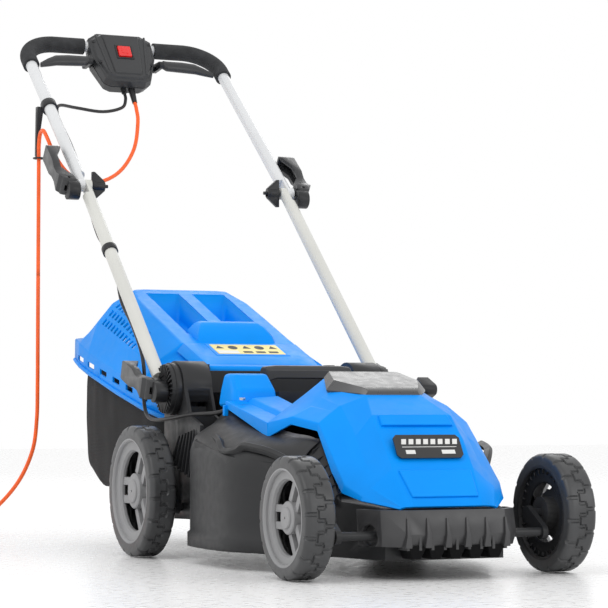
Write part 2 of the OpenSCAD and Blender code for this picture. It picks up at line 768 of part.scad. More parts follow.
module start_lever() {
    color(dark) mower() box_frame() {
        xrod(5, -72, 72, lever_y, lever_z);
        both() {
            hull() {
                xrod(8, 66, 72, lever_y, lever_z, 32);
                xrod(7, 66, 72, -52, 17, 32);
            }
            hull() {
                xrod(7, 66, 74, -52, 17, 32);
                xrod(6, 132, 138, -53, 17, 32);
            }
            hull() {
                xrod(6, 132, 138, -53, 17, 32);
                xrod(3.5, 164, 167, -70, 19, 32);
            }
        }
    }
}

module lead_gland() {
    color(dark) mower() box_frame() translate([-6, -94.6, -8]) rotate([90, 0, 0])
        cylinder(r = 5, h = 10.3, $fn = 32);
}

module strain_relief() {
    color(dark) mower() box_frame() translate([10, -94.6, -8]) rotate([90, 0, 0])
        cylinder(r1 = 6.5, r2 = 4.6, h = 34.3, $fn = 48);
}

// A strap around the leg with a hook body and a wire ring that guides the supply cord
hook_len = 250;
hook_x = 206;
module cable_hook() {
    color(dark) mower() side(-1) {
        upper_frame() translate([0, hook_len, 0]) difference() {
            yrod(tube_r + 3.5, -8, 8, leg_x, 0, 48);
            yrod(tube_r + run, -9, 9, leg_x, 0, 48);
        }
        hull() {
            translate([198.6, 1112, 750]) cube([10.4, 12, 10]);
            translate([hook_x - 2.5, 1121, 698]) cube([5, 7, 6]);
        }
        hull() {
            translate([hook_x - 2.5, 1121, 698]) cube([5, 7, 6]);
            translate([hook_x - 2.5, 1123, 674]) cube([5, 6, 4]);
        }
        translate([hook_x, 1113, 668]) rotate_extrude($fn = 48) translate([9, 0]) circle(r = 1.6, $fn = 16);
        translate([hook_x - 2.5, 1121, 667]) cube([5, 6, 10]);
    }
}

/* ---- grass box ---- */

// Each row: y, then half the outline as x, z pairs from the crown down to the rim's lower edge
lid_rows = [
    [574, [60, 285], [90, 284], [112, 262], [130, 248], [147, 236], [148, 202]],
    [600, [70, 294], [97, 293], [124, 272], [142, 258], [159, 243], [160, 207]],
    [673, [70, 319], [97, 318.5], [129, 298], [150, 286], [167.6, 258], [168, 222]],
    [678, [70, 330], [98, 330], [130, 308], [150, 296], [167.6, 259], [168, 223]],
    [800, [70, 376], [98, 376], [130, 350], [150, 332], [167.6, 285], [168, 248]],
    [887, [70, 409], [97, 408], [128, 384], [150, 358], [167.6, 306], [168, 268]],
    [948, [66, 431], [84, 430], [124, 406], [150, 374], [167.6, 321], [168, 282]],
    [1004, [60, 392], [80, 390], [116, 374], [146, 358], [165.6, 337], [166, 296]],
    [1050, [50, 352], [70, 351], [110, 350], [140, 349], [157.6, 347], [158, 306]]];

function lid_ring(row, t) = [for (i = [1:6])
    [row[i][0] - t, row[0], row[i][1] - (i == 6 ? 14 * sign(t) : t * 1.3)]];

// A hand pocket in the lid, grown by g on all sides for its wall
module pocket(g) {
    ring_loft([
        [[18 - g, 745 - g, 318 - g], [66 + g, 745 - g, 318 - g], [66 + g, 905 + g, 372 - g],
         [18 - g, 905 + g, 372 - g]],
        [[12 - g, 725 - g, 358], [72 + g, 725 - g, 358], [72 + g, 925 + g, 430], [12 - g, 925 + g, 430]]]);
}

module grass_box_lid() {
    color(blue) mower() {
        difference() {
            sym_loft([for (row = lid_rows) lid_ring(row, 0)]);
            sym_loft([for (row = lid_rows) [for (p = lid_ring(row, wall))
                [p[0], p[1] + (row[0] < 580 ? -4 : row[0] > 1040 ? -4 : 0), p[2]]]]);
            both() pocket(0);
            for (y = [655, 770, 885, 975]) let (z = 233 + (y - 655) * 0.19)
                both() block([150, 180], [y, y + 24], [z, z + 9]);
        }
        difference() {
            both() pocket(4);
            both() pocket(0);
            translate([0, 678, 327.5]) rotate([lid_slope, 0, 0]) block([-90, 90], [20, 320], [0, 80]);
        }
        ring_loft([[[-66, 690, 330], [66, 690, 330], [66, 714, 341], [-66, 714, 341]],
            [[-52, 700, 350], [52, 700, 350], [52, 713, 354], [-52, 713, 354]]]);
    }
}

bag_rows = [
    [576, [139, 234], [141, 200], [136, 112], [120, 104]],
    [640, [158, 246], [160, 210], [154, 106], [134, 97]],
    [830, [160, 262], [161, 220], [156, 106], [136, 96]],
    [930, [157, 280], [159, 230], [152, 112], [134, 95]],
    [1015, [146, 296], [150, 240], [146, 140], [124, 118]]];

function bag_ring(row, t) = [for (i = [1:4])
    [
        row[i][0] - t,
        row[0] - (row[0] < 580 ? 5 * sign(t) : row[0] > 960 ? t : 0),
        row[i][1] + (i == 1 ? 5 * sign(t) : i > 2 ? t : 0)
    ]];

module grass_bag() {
    color("#1d1d1f") mower() difference() {
        sym_loft([for (row = bag_rows) bag_ring(row, 0)]);
        sym_loft([for (row = bag_rows) bag_ring(row, 2.5)]);
    }
}

// The wire frame inside the bag: a hoop at the mouth and two runners
module bag_frame() {
    color("gray") mower() both() {
        yrod(2.5, 584, 940, 130, 118, 24);
        translate([130, 584, 118]) cylinder(r = 2.5, h = 108, $fn = 24);
    }
    color("gray") mower() xrod(2.5, -130, 130, 584, 118, 24);
}

flap_rows = [
    [574, [60, 295], [94, 294.5], [104, 283]],
    [600, [62, 304.5], [97, 304], [108, 292]],
    [672, [62, 330.5], [98, 330], [110, 317]]];

module rear_flap() {
    color(blue) mower() {
        difference() {
            sym_loft([for (row = flap_rows) [for (i = [1:3]) [row[i][0], row[0], row[i][1]]]]);
            sym_loft([for (row = flap_rows) [for (i = [1:3])
                [
                    row[i][0] - 3,
                    row[0] + (row[0] < 580 ? -2 : row[0] > 670 ? 2 : 0),
                    row[i][1] - (i == 3 ? 8 : 3)
                ]]]);
        }
        difference() {
            union() {
                xrod(7, -98, 98, 562, 285);
                block([-96, 96], [562, 576], [288, 291.5]);
                ring_loft([[[-96, 562, 288], [96, 562, 288], [96, 576, 292], [-96, 576, 292]],
                    [[-96, 562, 291.5], [96, 562, 291.5], [96, 576, 295], [-96, 576, 295]]]);
            }
            xrod(3 + run, -110, 110, 562, 285);
        }
    }
}

/* ---- leads and cord ---- */

lead_top = [[-6, 1229.3, 810.7], [-7, 1219, 797], [-20, 1203, 779], [-62, 1190, 768], [-118, 1172, 770],
    [-160, 1138, 768], [-173, 1112, 750], [-173, 1080, 722], [-173, 1028, 682], [-174, 975, 634],
    [-177, 935, 590], [-176, 910, 555], [-177, 868, 514], [-177, 826, 490], [-177, 803, 474],
    [-177, 797.6, 469.2]];
lead_low = [[-177, 795, 467], [-177, 773, 443], [-178, 745, 398], [-179, 690, 358], [-182, 640, 316],
    [-183, 622, 280], [-184, 621, 244], [-186, 604, 218], [-186, 570, 208], [-182, 500, 210],
    [-174, 440, 216], [-160, 385, 218], [-150.5, 362, 222]];

module motor_lead_upper() { color("#1a1a1b") mower() cord(lead_top, lead_d / 2, 2, 8); }
module motor_lead_lower() { color("#1a1a1b") mower() cord(lead_low, lead_d / 2, 2, 8); }

loop_route = [[10, 1215.5, 791], [10, 1207, 779], [7, 1190, 752], [-8, 1166, 702], [-40, 1138, 660],
    [-80, 1112, 635], [-125, 1085, 626], [-165, 1068, 638], [-192, 1062, 668], [-204, 1068, 698],
    [-207, 1084, 714], [-207, 1102, 710], [-206, 1112, 694], [-206, 1113, 682]];
drop_route = [[-206, 1113, 681], [-206, 1113, 640], [-206, 1113, 560], [-206, 1113, 460], [-206, 1113, 360],
    [-206, 1113, 270], [-207, 1113.5, 205], [-214, 1116.5, 150], [-237, 1126.7, 95], [-275, 1143.5, 48],
    [-318, 1162.5, 18], [-352, 1177.5, 6], [-370, 1185.5, 3.7], [-390, 1194.2, 3.6]];

module supply_cord_loop() { color("orangered") mower() cord(loop_route, cord_d / 2, 2, 8); }
module supply_cord_drop() { color("orangered") mower() cord(drop_route, cord_d / 2, 2, 8); }

module supply_cord_coil() {
    r0 = coil_mid_r - coil_w / 2;
    r1 = coil_mid_r + coil_w / 2;
    color("orangered") mower() translate([coil_c[0], coil_c[1], 0]) rotate_extrude($fn = 96)
        polygon([[r0 + 3, 0], [r1 - 3, 0], [r1, 3], [r1, coil_h - 3], [r1 - 3, coil_h], [r0 + 3, coil_h],
            [r0, coil_h - 3], [r0, 3]]);
}

// The plug lies beyond the coil with its pins pointing along -X
plug_c = [-452, 1187.2, 17];
plug_len = 22;
plug_pin_r = 2.4;
plug_pin_pitch = 19;

module plug() {
    color("#1c1c1d") mower() translate(plug_c) rotate([0, -90, 0]) hull() for (y = [-9, 9])
        translate([0, y, 0]) cylinder(r = 17, h = plug_len, $fn = 32);
    color("silver") mower() translate(plug_c) for (y = [-0.5, 0.5])
        xrod(plug_pin_r, -plug_len - 19, -plug_len + 0.5, y * plug_pin_pitch, 0, 32);
}

deck_housing();
rear_housing();
front_bumper();
hood();
hood_trim();
carry_handle();
front_badge();
motor_can();
motor_bearings();
deck_fasteners();
flap_pin();
height_lever();
front_axle();
rear_axle();
front_tyre_right();
front_rim_right();
front_tyre_left();
front_rim_left();
rear_tyre_right();
rear_rim_right();
rear_tyre_left();
rear_rim_left();
rotor_shaft();
cooling_fan();
blade_hub();
blade();
blade_bolt();
lower_tube_right();
lower_tube_left();
pivot_disc_right();
pivot_disc_left();
handle_bolts();
lead_clip();
pivot_lever_right();
pivot_lever_left();
joint_lever_right();
joint_lever_left();
wing_knob_right();
wing_knob_left();
upper_tube();
grip_right();
grip_left();
switch_box_cover();
switch_box_base();
switch_block();
lead_gland();
strain_relief();
cable_hook();
start_lever();
lock_button();
grass_box_lid();
grass_bag();
bag_frame();
rear_flap();
motor_lead_upper();
motor_lead_lower();
supply_cord_loop();
supply_cord_drop();
supply_cord_coil();
plug();
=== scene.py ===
"""The push lawn mower's visual model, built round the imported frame."""

import json
import math

import bmesh
import bpy
from mathutils import Matrix, Vector, noise

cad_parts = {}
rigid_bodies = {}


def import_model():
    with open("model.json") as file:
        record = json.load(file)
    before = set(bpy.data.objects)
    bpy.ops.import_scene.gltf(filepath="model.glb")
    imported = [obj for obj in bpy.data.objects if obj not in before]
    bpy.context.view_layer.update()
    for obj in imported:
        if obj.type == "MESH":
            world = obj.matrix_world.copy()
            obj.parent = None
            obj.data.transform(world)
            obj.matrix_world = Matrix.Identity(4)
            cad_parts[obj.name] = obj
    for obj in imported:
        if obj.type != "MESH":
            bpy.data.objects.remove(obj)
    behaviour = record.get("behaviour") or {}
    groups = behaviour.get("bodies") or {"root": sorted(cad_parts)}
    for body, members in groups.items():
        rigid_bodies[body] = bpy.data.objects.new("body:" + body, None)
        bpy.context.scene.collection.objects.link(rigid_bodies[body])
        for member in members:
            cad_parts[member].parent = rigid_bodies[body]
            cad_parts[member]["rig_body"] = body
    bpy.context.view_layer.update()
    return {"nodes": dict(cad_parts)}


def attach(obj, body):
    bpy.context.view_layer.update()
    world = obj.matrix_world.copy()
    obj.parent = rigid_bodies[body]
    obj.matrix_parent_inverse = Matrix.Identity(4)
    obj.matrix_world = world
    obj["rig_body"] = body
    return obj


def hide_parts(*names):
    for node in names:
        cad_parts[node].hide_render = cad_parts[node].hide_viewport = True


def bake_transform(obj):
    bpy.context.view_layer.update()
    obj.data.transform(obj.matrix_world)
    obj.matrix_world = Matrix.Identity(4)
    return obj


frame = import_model()
cad = frame["nodes"]

MM = 0.001
AXLE_Y = -614.0
SIDES = ((-1, "right"), (1, "left"))


def pt(x, y, z):
    """A point drawn from the front wheel axis in millimetres, in the row frame in metres."""
    return Vector((x * MM, (y + AXLE_Y) * MM, z * MM))


# ---- camera ----

LENS_MM = 133.97
CAMERA_AT = Vector((-1.38743, -3.34423, 0.22408))
CAMERA_RIGHT = Vector((0.91497, -0.40355, 0.0))
CAMERA_UP = Vector((-0.01873, -0.04246, 0.99894))
CAMERA_LOOK = Vector((0.40311, 0.91398, 0.04641))

camera_data = bpy.data.cameras.new("camera")
camera_data.lens = LENS_MM
camera_data.sensor_width = 36.0
camera = bpy.data.objects.new("camera", camera_data)
bpy.context.scene.collection.objects.link(camera)
camera.matrix_world = Matrix.Translation(CAMERA_AT) @ Matrix(
    (CAMERA_RIGHT, CAMERA_UP, -CAMERA_LOOK)
).transposed().to_4x4()
bpy.context.scene.camera = camera

# ---- materials ----


def links(material):
    tree = material.node_tree
    return tree.nodes, tree.links, tree.nodes["Principled BSDF"]


def ramp(nodes, low, high, start=0.35, end=0.65):
    made = nodes.new("ShaderNodeValToRGB")
    made.color_ramp.elements[0].position = start
    made.color_ramp.elements[1].position = end
    made.color_ramp.elements[0].color = low
    made.color_ramp.elements[1].color = high
    return made


def shade(base, factor):
    return (base[0] * factor, base[1] * factor, base[2] * factor, 1.0)


def surface(
    name,
    base,
    rough,
    metallic=0.0,
    vary=0.08,
    vary_scale=9.0,
    rough_vary=0.06,
    grain=1100.0,
    grain_depth=0.00008,
    coat=0.0,
    specular=0.5,
    stretch=(1.0, 1.0, 1.0),
):
    """A solid material: slow colour and roughness variation, and a fine grain in its bump."""
    material = bpy.data.materials.new(name)
    material.use_nodes = True
    nodes, link, shader = links(material)
    coords = nodes.new("ShaderNodeTexCoord")
    mapping = nodes.new("ShaderNodeMapping")
    mapping.inputs["Scale"].default_value = stretch
    link.new(coords.outputs["Object"], mapping.inputs["Vector"])
    slow = nodes.new("ShaderNodeTexNoise")
    slow.inputs["Scale"].default_value = vary_scale
    slow.inputs["Detail"].default_value = 6.0
    colours = ramp(nodes, shade(base, 1.0 - vary), shade(base, 1.0 + vary))
    link.new(mapping.outputs[0], slow.inputs["Vector"])
    link.new(slow.outputs[0], colours.inputs[0])
    link.new(colours.outputs[0], shader.inputs["Base Color"])
    middle = nodes.new("ShaderNodeTexNoise")
    middle.inputs["Scale"].default_value = vary_scale * 8
    middle.inputs["Detail"].default_value = 4.0
    level = nodes.new("ShaderNodeMapRange")
    level.inputs["From Min"].default_value = 0.3
    level.inputs["From Max"].default_value = 0.7
    level.inputs["To Min"].default_value = max(0.02, rough - rough_vary)
    level.inputs["To Max"].default_value = min(1.0, rough + rough_vary)
    link.new(mapping.outputs[0], middle.inputs["Vector"])
    link.new(middle.outputs[0], level.inputs["Value"])
    link.new(level.outputs[0], shader.inputs["Roughness"])
    fine = nodes.new("ShaderNodeTexNoise")
    fine.inputs["Scale"].default_value = grain
    fine.inputs["Detail"].default_value = 2.0
    bump = nodes.new("ShaderNodeBump")
    bump.inputs["Strength"].default_value = 0.7
    bump.inputs["Distance"].default_value = grain_depth
    link.new(mapping.outputs[0], fine.inputs["Vector"])
    link.new(fine.outputs[0], bump.inputs["Height"])
    link.new(bump.outputs[0], shader.inputs["Normal"])
    shader.inputs["Metallic"].default_value = metallic
    shader.inputs["Specular IOR Level"].default_value = specular
    shader.inputs["Coat Weight"].default_value = coat
    shader.inputs["Coat Roughness"].default_value = 0.12
    return material


def split_by_x(material, second, limit, width=0.0006):
    """Where |x| is over the limit, the base colour is the second one."""
    nodes, link, shader = links(material)
    first = shader.inputs["Base Color"].links[0].from_socket
    coords = nodes.new("ShaderNodeTexCoord")
    parts = nodes.new("ShaderNodeSeparateXYZ")
    size = nodes.new("ShaderNodeMath")
    size.operation = "ABSOLUTE"
    step = nodes.new("ShaderNodeMapRange")
    step.inputs["From Min"].default_value = limit
    step.inputs["From Max"].default_value = limit + width
    mix = nodes.new("ShaderNodeMix")
    mix.data_type = "RGBA"
    link.new(coords.outputs["Object"], parts.inputs[0])
    link.new(parts.outputs["X"], size.inputs[0])
    link.new(size.outputs[0], step.inputs["Value"])
    link.new(step.outputs[0], mix.inputs["Factor"])
    link.new(first, mix.inputs["A"])
    tint = ramp(nodes, shade(second, 0.94), shade(second, 1.06))
    source = first.node.inputs[0].links[0].from_socket
    link.new(source, tint.inputs[0])
    link.new(tint.outputs[0], mix.inputs["B"])
    link.new(mix.outputs["Result"], shader.inputs["Base Color"])
    return material


def woven(name, base, pitch, depth, rough=0.9):
    """A woven cloth: crossing threads in colour and bump."""
    material = bpy.data.materials.new(name)
    material.use_nodes = True
    nodes, link, shader = links(material)
    coords = nodes.new("ShaderNodeTexCoord")
    waves = []
    for turn in ((0.0, 0.0, math.pi / 4), (0.0, math.pi / 2, 0.0)):
        mapping = nodes.new("ShaderNodeMapping")
        mapping.inputs["Rotation"].default_value = turn
        wave = nodes.new("ShaderNodeTexWave")
        wave.inputs["Scale"].default_value = 2 * math.pi / (20 * pitch)
        wave.inputs["Distortion"].default_value = 0.4
        link.new(coords.outputs["Object"], mapping.inputs["Vector"])
        link.new(mapping.outputs[0], wave.inputs["Vector"])
        waves.append(wave)
    both = nodes.new("ShaderNodeMath")
    both.operation = "MAXIMUM"
    for i, wave in enumerate(waves):
        link.new(wave.outputs[1], both.inputs[i])
    colours = ramp(nodes, shade(base, 0.35), shade(base, 1.5), 0.3, 0.95)
    link.new(both.outputs[0], colours.inputs[0])
    link.new(colours.outputs[0], shader.inputs["Base Color"])
    bump = nodes.new("ShaderNodeBump")
    bump.inputs["Strength"].default_value = 0.8
    bump.inputs["Distance"].default_value = depth
    link.new(both.outputs[0], bump.inputs["Height"])
    link.new(bump.outputs[0], shader.inputs["Normal"])
    shader.inputs["Roughness"].default_value = rough
    shader.inputs["Sheen Weight"].default_value = 0.02
    return material


BLUE = surface(
    "hood_blue", (0.0, 0.275, 0.88), 0.38, vary=0.04, grain=1500, grain_depth=0.000012,
    specular=0.1,
)
GREY = surface(
    "deck_grey", (0.021, 0.0215, 0.023), 0.42, specular=0.32, vary=0.06, grain=900,
    grain_depth=0.00012,
)
BUMPER = surface(
    "bumper_grey", (0.040, 0.040, 0.042), 0.36, specular=0.5, vary=0.1, grain=900,
    grain_depth=0.00006,
)
DARK = surface(
    "trim_dark", (0.014, 0.0145, 0.016), 0.4, specular=0.4, vary=0.12, grain=1000,
    grain_depth=0.0001,
)
# A near-black material for the blocks that paint the shade under the front bumper.
SHADE = surface("underside_black", (0.004, 0.004, 0.0045), 0.6, specular=0.1, vary=0.1)
TRIM = surface(
    "hood_trim_grey", (0.03, 0.031, 0.033), 0.3, specular=0.9, vary=0.03, grain=600,
    grain_depth=0.0000005,
)
SATIN = surface(
    "trim_satin", (0.028, 0.029, 0.031), 0.34, specular=0.45, vary=0.08, grain=1500,
    grain_depth=0.00005,
)
TYRE = surface(
    "tyre_black", (0.045, 0.046, 0.048), 0.38, vary=0.2, vary_scale=22, grain=800,
    grain_depth=0.00014,
)
FRONT_RIM = split_by_x(
    surface("front_rim", (0.02, 0.02, 0.021), 0.5, grain=1000), (0.27, 0.27, 0.275), 0.1925
)
REAR_RIM = split_by_x(
    surface("rear_rim", (0.02, 0.02, 0.021), 0.5, grain=1000), (0.27, 0.27, 0.275), 0.2155
)
CREAM = surface(
    "tube_cream", (0.60, 0.60, 0.565), 0.34, vary=0.03, grain=1400, grain_depth=0.000006,
    coat=0.2,
)
SILVER = surface(
    "tube_silver", (0.66, 0.67, 0.68), 0.32, vary=0.03, grain=1400, grain_depth=0.000006,
    coat=0.2,
)
FOAM = surface(
    "grip_foam", (0.026, 0.027, 0.029), 0.88, vary=0.25, vary_scale=60, grain=650,
    grain_depth=0.0004,
)
STEEL = surface(
    "bare_steel", (0.52, 0.52, 0.51), 0.34, metallic=1.0, vary=0.1, vary_scale=30,
    stretch=(1, 6, 1),
)
RED = surface("button_red", (0.72, 0.008, 0.006), 0.28, vary=0.04, coat=0.4)
BADGE = surface("badge_black", (0.006, 0.006, 0.007), 0.2, vary=0.2, coat=0.5, grain_depth=0.00002)
PALE = surface("print_pale", (0.72, 0.72, 0.70), 0.4, vary=0.04)
YELLOW = surface("label_yellow", (0.84, 0.70, 0.24), 0.42, vary=0.06, grain_depth=0.00002)
INK = surface("label_ink", (0.02, 0.02, 0.02), 0.5, vary=0.1)
WHITE = surface("switch_white", (0.72, 0.72, 0.70), 0.45, vary=0.04)
CORD = surface(
    "cord_orange", (0.92, 0.115, 0.008), 0.42, vary=0.07, vary_scale=40, grain=1600,
    grain_depth=0.00006,
)
LEAD = surface(
    "lead_black", (0.010, 0.010, 0.011), 0.42, vary=0.2, vary_scale=40, grain=1600,
    grain_depth=0.00006,
)
MESH = woven("bag_mesh", (0.0045, 0.0045, 0.005), 0.0024, 0.0004)
PLUG = split_by_x(surface("plug_black", (0.02, 0.02, 0.021), 0.4), (0.5, 0.5, 0.5), 0.4745)

# ---- mesh tools ----


def piece(name, verts, faces, body, material, replaces=(), smooth=True):
    mesh = bpy.data.meshes.new(name)
    mesh.from_pydata([tuple(v) for v in verts], [], faces)
    mesh.validate()
    return finish_piece(name, mesh, body, material, replaces, smooth)


def finish_piece(name, mesh, body, material, replaces=(), smooth=True):
    made = bpy.data.objects.new(name, mesh)
    bpy.context.scene.collection.objects.link(made)
    mesh.polygons.foreach_set("use_smooth", [smooth] * len(mesh.polygons))
    mesh.materials.clear()
    mesh.materials.append(material)
    if body:
        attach(made, body)
    if replaces:
        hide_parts(*replaces)
    return made


def bevel(made, width, segments=3, angle=24.0):
    modifier = made.modifiers.new("bevel", "BEVEL")
    modifier.width = width * MM
    modifier.segments = segments
    modifier.limit_method = "ANGLE"
    modifier.angle_limit = math.radians(angle)
    modifier.harden_normals = True
    return made


def solidify(made, thickness):
    modifier = made.modifiers.new("wall", "SOLIDIFY")
    modifier.thickness = thickness * MM
    modifier.offset = -1.0
    modifier.use_even_offset = False
    return made


def apply_modifiers(made):
    depsgraph = bpy.context.evaluated_depsgraph_get()
    depsgraph.update()
    mesh = bpy.data.meshes.new_from_object(made.evaluated_get(depsgraph))
    made.modifiers.clear()
    made.data = mesh
    return made


def outward(mesh):
    edit = bmesh.new()
    edit.from_mesh(mesh)
    bmesh.ops.recalc_face_normals(edit, faces=edit.faces)
    edit.to_mesh(mesh)
    edit.free()


def rings_mesh(rings, capped=True):
    """Vertices and faces through rings of points, closed at both ends."""
    n = len(rings[0])
    verts = [v for ring in rings for v in ring]
    faces = [
        (k * n + i, k * n + (i + 1) % n, (k + 1) * n + (i + 1) % n, (k + 1) * n + i)
        for k in range(len(rings) - 1)
        for i in range(n)
    ]
    if capped:
        faces.append(tuple(range(n)))
        faces.append(tuple((len(rings) - 1) * n + i for i in range(n)))
    return verts, faces


def merged(solids):
    """Vertices and faces of several closed solids, each given by its rings."""
    verts, faces = [], []
    for rings in solids:
        some, more = rings_mesh(rings)
        faces += [tuple(len(verts) + i for i in face) for face in more]
        verts += some
    return verts, faces


def level_quad(x0, x1, y0, y1, z):
    """The four corners of a level rectangle."""
    return [pt(x0, y0, z), pt(x1, y0, z), pt(x1, y1, z), pt(x0, y1, z)]


def turn(count):
    """Angles spread evenly over one turn."""
    return [2 * math.pi * k / count for k in range(count)]


def solid(name, rings, body, material, width, replaces=(), both=False):
    """A closed solid through rings of points, mirrored too when both is set, with rounded edges."""
    verts, faces = rings_mesh(rings)
    if both:
        count = len(verts)
        verts = verts + [Vector((-v[0], v[1], v[2])) for v in verts]
        faces = faces + [tuple(count + i for i in face) for face in faces]
    made = piece(name, verts, faces, body, material, replaces)
    outward(made.data)
    return bevel(made, width) if width else made


def block_rings(x, y, z0, z1):
    """Rings of a block whose bottom and top heights are given for its front and rear."""
    return [
        [pt(x[0], y[0], z[0]), pt(x[1], y[0], z[0]), pt(x[1], y[1], z[1]), pt(x[0], y[1], z[1])]
        for z in (z0, z1)
    ]


def soften(node, width, material, angle=28.0):
    """The CAD node's own shape with rounded edges."""
    body = cad[node]["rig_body"]
    mesh = cad[node].data.copy()
    edit = bmesh.new()
    edit.from_mesh(mesh)
    bmesh.ops.remove_doubles(edit, verts=edit.verts, dist=2e-6)
    bmesh.ops.dissolve_limit(
        edit, angle_limit=math.radians(0.5), verts=edit.verts, edges=edit.edges
    )
    edit.to_mesh(mesh)
    edit.free()
    if mesh.has_custom_normals:
        mesh.normals_split_custom_set([(0.0, 0.0, 0.0)] * len(mesh.loops))
    made = finish_piece(node + "_shape", mesh, body, material, [node])
    return bevel(made, width, 2, angle)


def smooth_line(points, steps):
    """A Catmull-Rom curve through the points."""
    out = []
    last = len(points) - 1
    for i in range(last):
        a, b, c, d = points[max(i - 1, 0)], points[i], points[i + 1], points[min(i + 2, last)]
        for k in range(steps):
            t = k / steps
            out.append(
                0.5
                * (
                    2 * b
                    + (c - a) * t
                    + (2 * a - 5 * b + 4 * c - d) * t * t
                    + (3 * b - a - 3 * c + d) * t ** 3
                )
            )
    out.append(points[last].copy())
    return out


def tube_mesh(line, radius, sides=14):
    """A round tube along a line, closed at both ends. The radius may be a list."""
    count = len(line)
    radii = radius if isinstance(radius, list) else [radius] * count
    rings = []
    normal = Vector((0.3, 0.9, 0.2))
    for i, p in enumerate(line):
        way = (line[min(i + 1, count - 1)] - line[max(i - 1, 0)]).normalized()
        normal = (normal - normal.dot(way) * way).normalized()
        cross = way.cross(normal)
        rings.append(
            [
                p + radii[i] * (math.cos(a) * normal + math.sin(a) * cross)
                for a in (2 * math.pi * k / sides for k in range(sides))
            ]
        )
    return rings_mesh(rings)


def tube(name, line, radius, body, material, replaces=(), sides=14):
    verts, faces = tube_mesh(line, radius, sides)
    made = piece(name, verts, faces, body, material, replaces)
    outward(made.data)
    return made


# ---- supply cord ----

CORD_R = 0.0035
loop_points = [
    (10, 1215.5, 791), (10, 1207, 779), (7, 1190, 752), (-8, 1166, 702), (-40, 1138, 660),
    (-80, 1112, 635), (-125, 1085, 626), (-165, 1068, 638), (-192, 1062, 668),
    (-204, 1068, 698), (-207, 1084, 714), (-207, 1102, 710), (-206, 1112, 694),
    (-206, 1113, 682),
]
drop_points = [
    (-206, 1113, 682), (-206, 1113, 640), (-206, 1113, 560), (-206, 1113, 460),
    (-206, 1113, 360), (-206, 1113, 270), (-207, 1113.5, 205), (-214, 1116.5, 150),
    (-237, 1126.7, 95), (-275, 1143.5, 48), (-318, 1162.5, 18), (-352, 1177.5, 6),
    (-370, 1185.5, 3.7), (-390, 1194.2, 3.6),
]
COIL_X, COIL_Y = -356.8, 1269.4
COIL_R = (82.2, 42.9)
COIL_LAYER = 7.0
COIL_LAYERS = 4
TURNS_A_LAYER = 5.4835
STEPS_A_TURN = 40
START_ANGLE = math.atan2(1194.2 - COIL_Y, -390 - COIL_X)


def coil_points():
    """Flat spirals, one on the other, in and out by turns, clockwise from above."""
    out = []
    total = COIL_LAYERS * TURNS_A_LAYER
    steps = int(total * STEPS_A_TURN)
    rise = 0.12
    for k in range(1, steps + 1):
        turns = total * k / steps
        layer = min(int(turns / TURNS_A_LAYER), COIL_LAYERS - 1)
        part = turns / TURNS_A_LAYER - layer
        inwards = part if layer % 2 == 0 else 1.0 - part
        radius = COIL_R[0] + (COIL_R[1] - COIL_R[0]) * inwards
        up = layer * COIL_LAYER
        if layer < COIL_LAYERS - 1 and part > 1.0 - rise / 2:
            f = (part - 1.0 + rise / 2) / rise
            up += COIL_LAYER * f * f * (3 - 2 * f)
        if layer > 0 and part < rise / 2:
            f = (part + rise / 2) / rise
            up -= COIL_LAYER * (1 - f * f * (3 - 2 * f))
        angle = START_ANGLE - 2 * math.pi * turns
        out.append(
            pt(COIL_X + radius * math.cos(angle), COIL_Y + radius * math.sin(angle), 3.6 + up)
        )
    return out


loop_line = smooth_line([pt(*p) for p in loop_points], 6)
drop_line = smooth_line([pt(*p) for p in drop_points], 8)
MID_DROP = 24
coil_line = coil_points()
plug_end = pt(-452.5, 1187.2, 17)
tail_start = coil_line[-1]
tail_line = smooth_line(
    [coil_line[-2], tail_start, pt(-385, 1187.2, 23.6), pt(-420, 1187.2, 19), plug_end], 6
)[7:]
upper_drop = drop_line[: MID_DROP + 1]
rest_line = drop_line[MID_DROP:] + coil_line + tail_line

cord_loop = tube(
    "supply_cord_to_hook", loop_line, CORD_R, "upper_handle", CORD,
    ["supply_cord_loop"],
)
cord_drop = tube("supply_cord_hanging", upper_drop, CORD_R, None, CORD)
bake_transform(cord_drop)
cord_rest = tube(
    "supply_cord_coiled", rest_line, CORD_R, None, CORD,
    ["supply_cord_drop", "supply_cord_coil"], 12,
)
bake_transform(cord_rest)
plug_shape = soften("plug", 3.0, PLUG)

# A strap holds the coil together: its route over and under the turns, as radius and height
TIE_ROUTE = (
    (38.5, 14), (40, 28.5), (62, 30.2), (85, 28.5), (87.3, 14), (85, 2), (62, 1.6), (40, 2),
)
TIE_R = 0.0014
tie_angle = math.radians(60)
tie_line = [
    pt(COIL_X + radius * math.cos(tie_angle), COIL_Y + radius * math.sin(tie_angle), height)
    for radius, height in TIE_ROUTE
]
tube(
    "coil_tie", smooth_line(tie_line + [tie_line[0]], 5), TIE_R, "deck", DARK,
    (), 8,
)

# ---- motor lead ----

LEAD_R = 0.003
lead_upper_points = [
    (-6, 1229.3, 810.7), (-7, 1219, 797), (-20, 1203, 779), (-62, 1190, 768), (-118, 1172, 770),
    (-160, 1138, 768), (-173, 1112, 750), (-173, 1080, 722), (-173, 1028, 682), (-174, 975, 634),
    (-177, 935, 590), (-176, 910, 555), (-177, 868, 514), (-177, 826, 490), (-177, 803, 474),
    (-177, 797.6, 469.2),
]
lead_lower_points = [
    (-177, 797.6, 469.2), (-177, 773, 443), (-178, 745, 398), (-179, 690, 358), (-182, 640, 316),
    (-183, 622, 280), (-184, 621, 244), (-186, 604, 218), (-186, 570, 208), (-182, 500, 210),
    (-174, 440, 216), (-160, 385, 218), (-150.5, 362, 222),
]
lead_upper = tube(
    "motor_lead_top", smooth_line([pt(*p) for p in lead_upper_points], 6), LEAD_R, None,
    LEAD, ["motor_lead_upper"],
)
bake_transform(lead_upper)
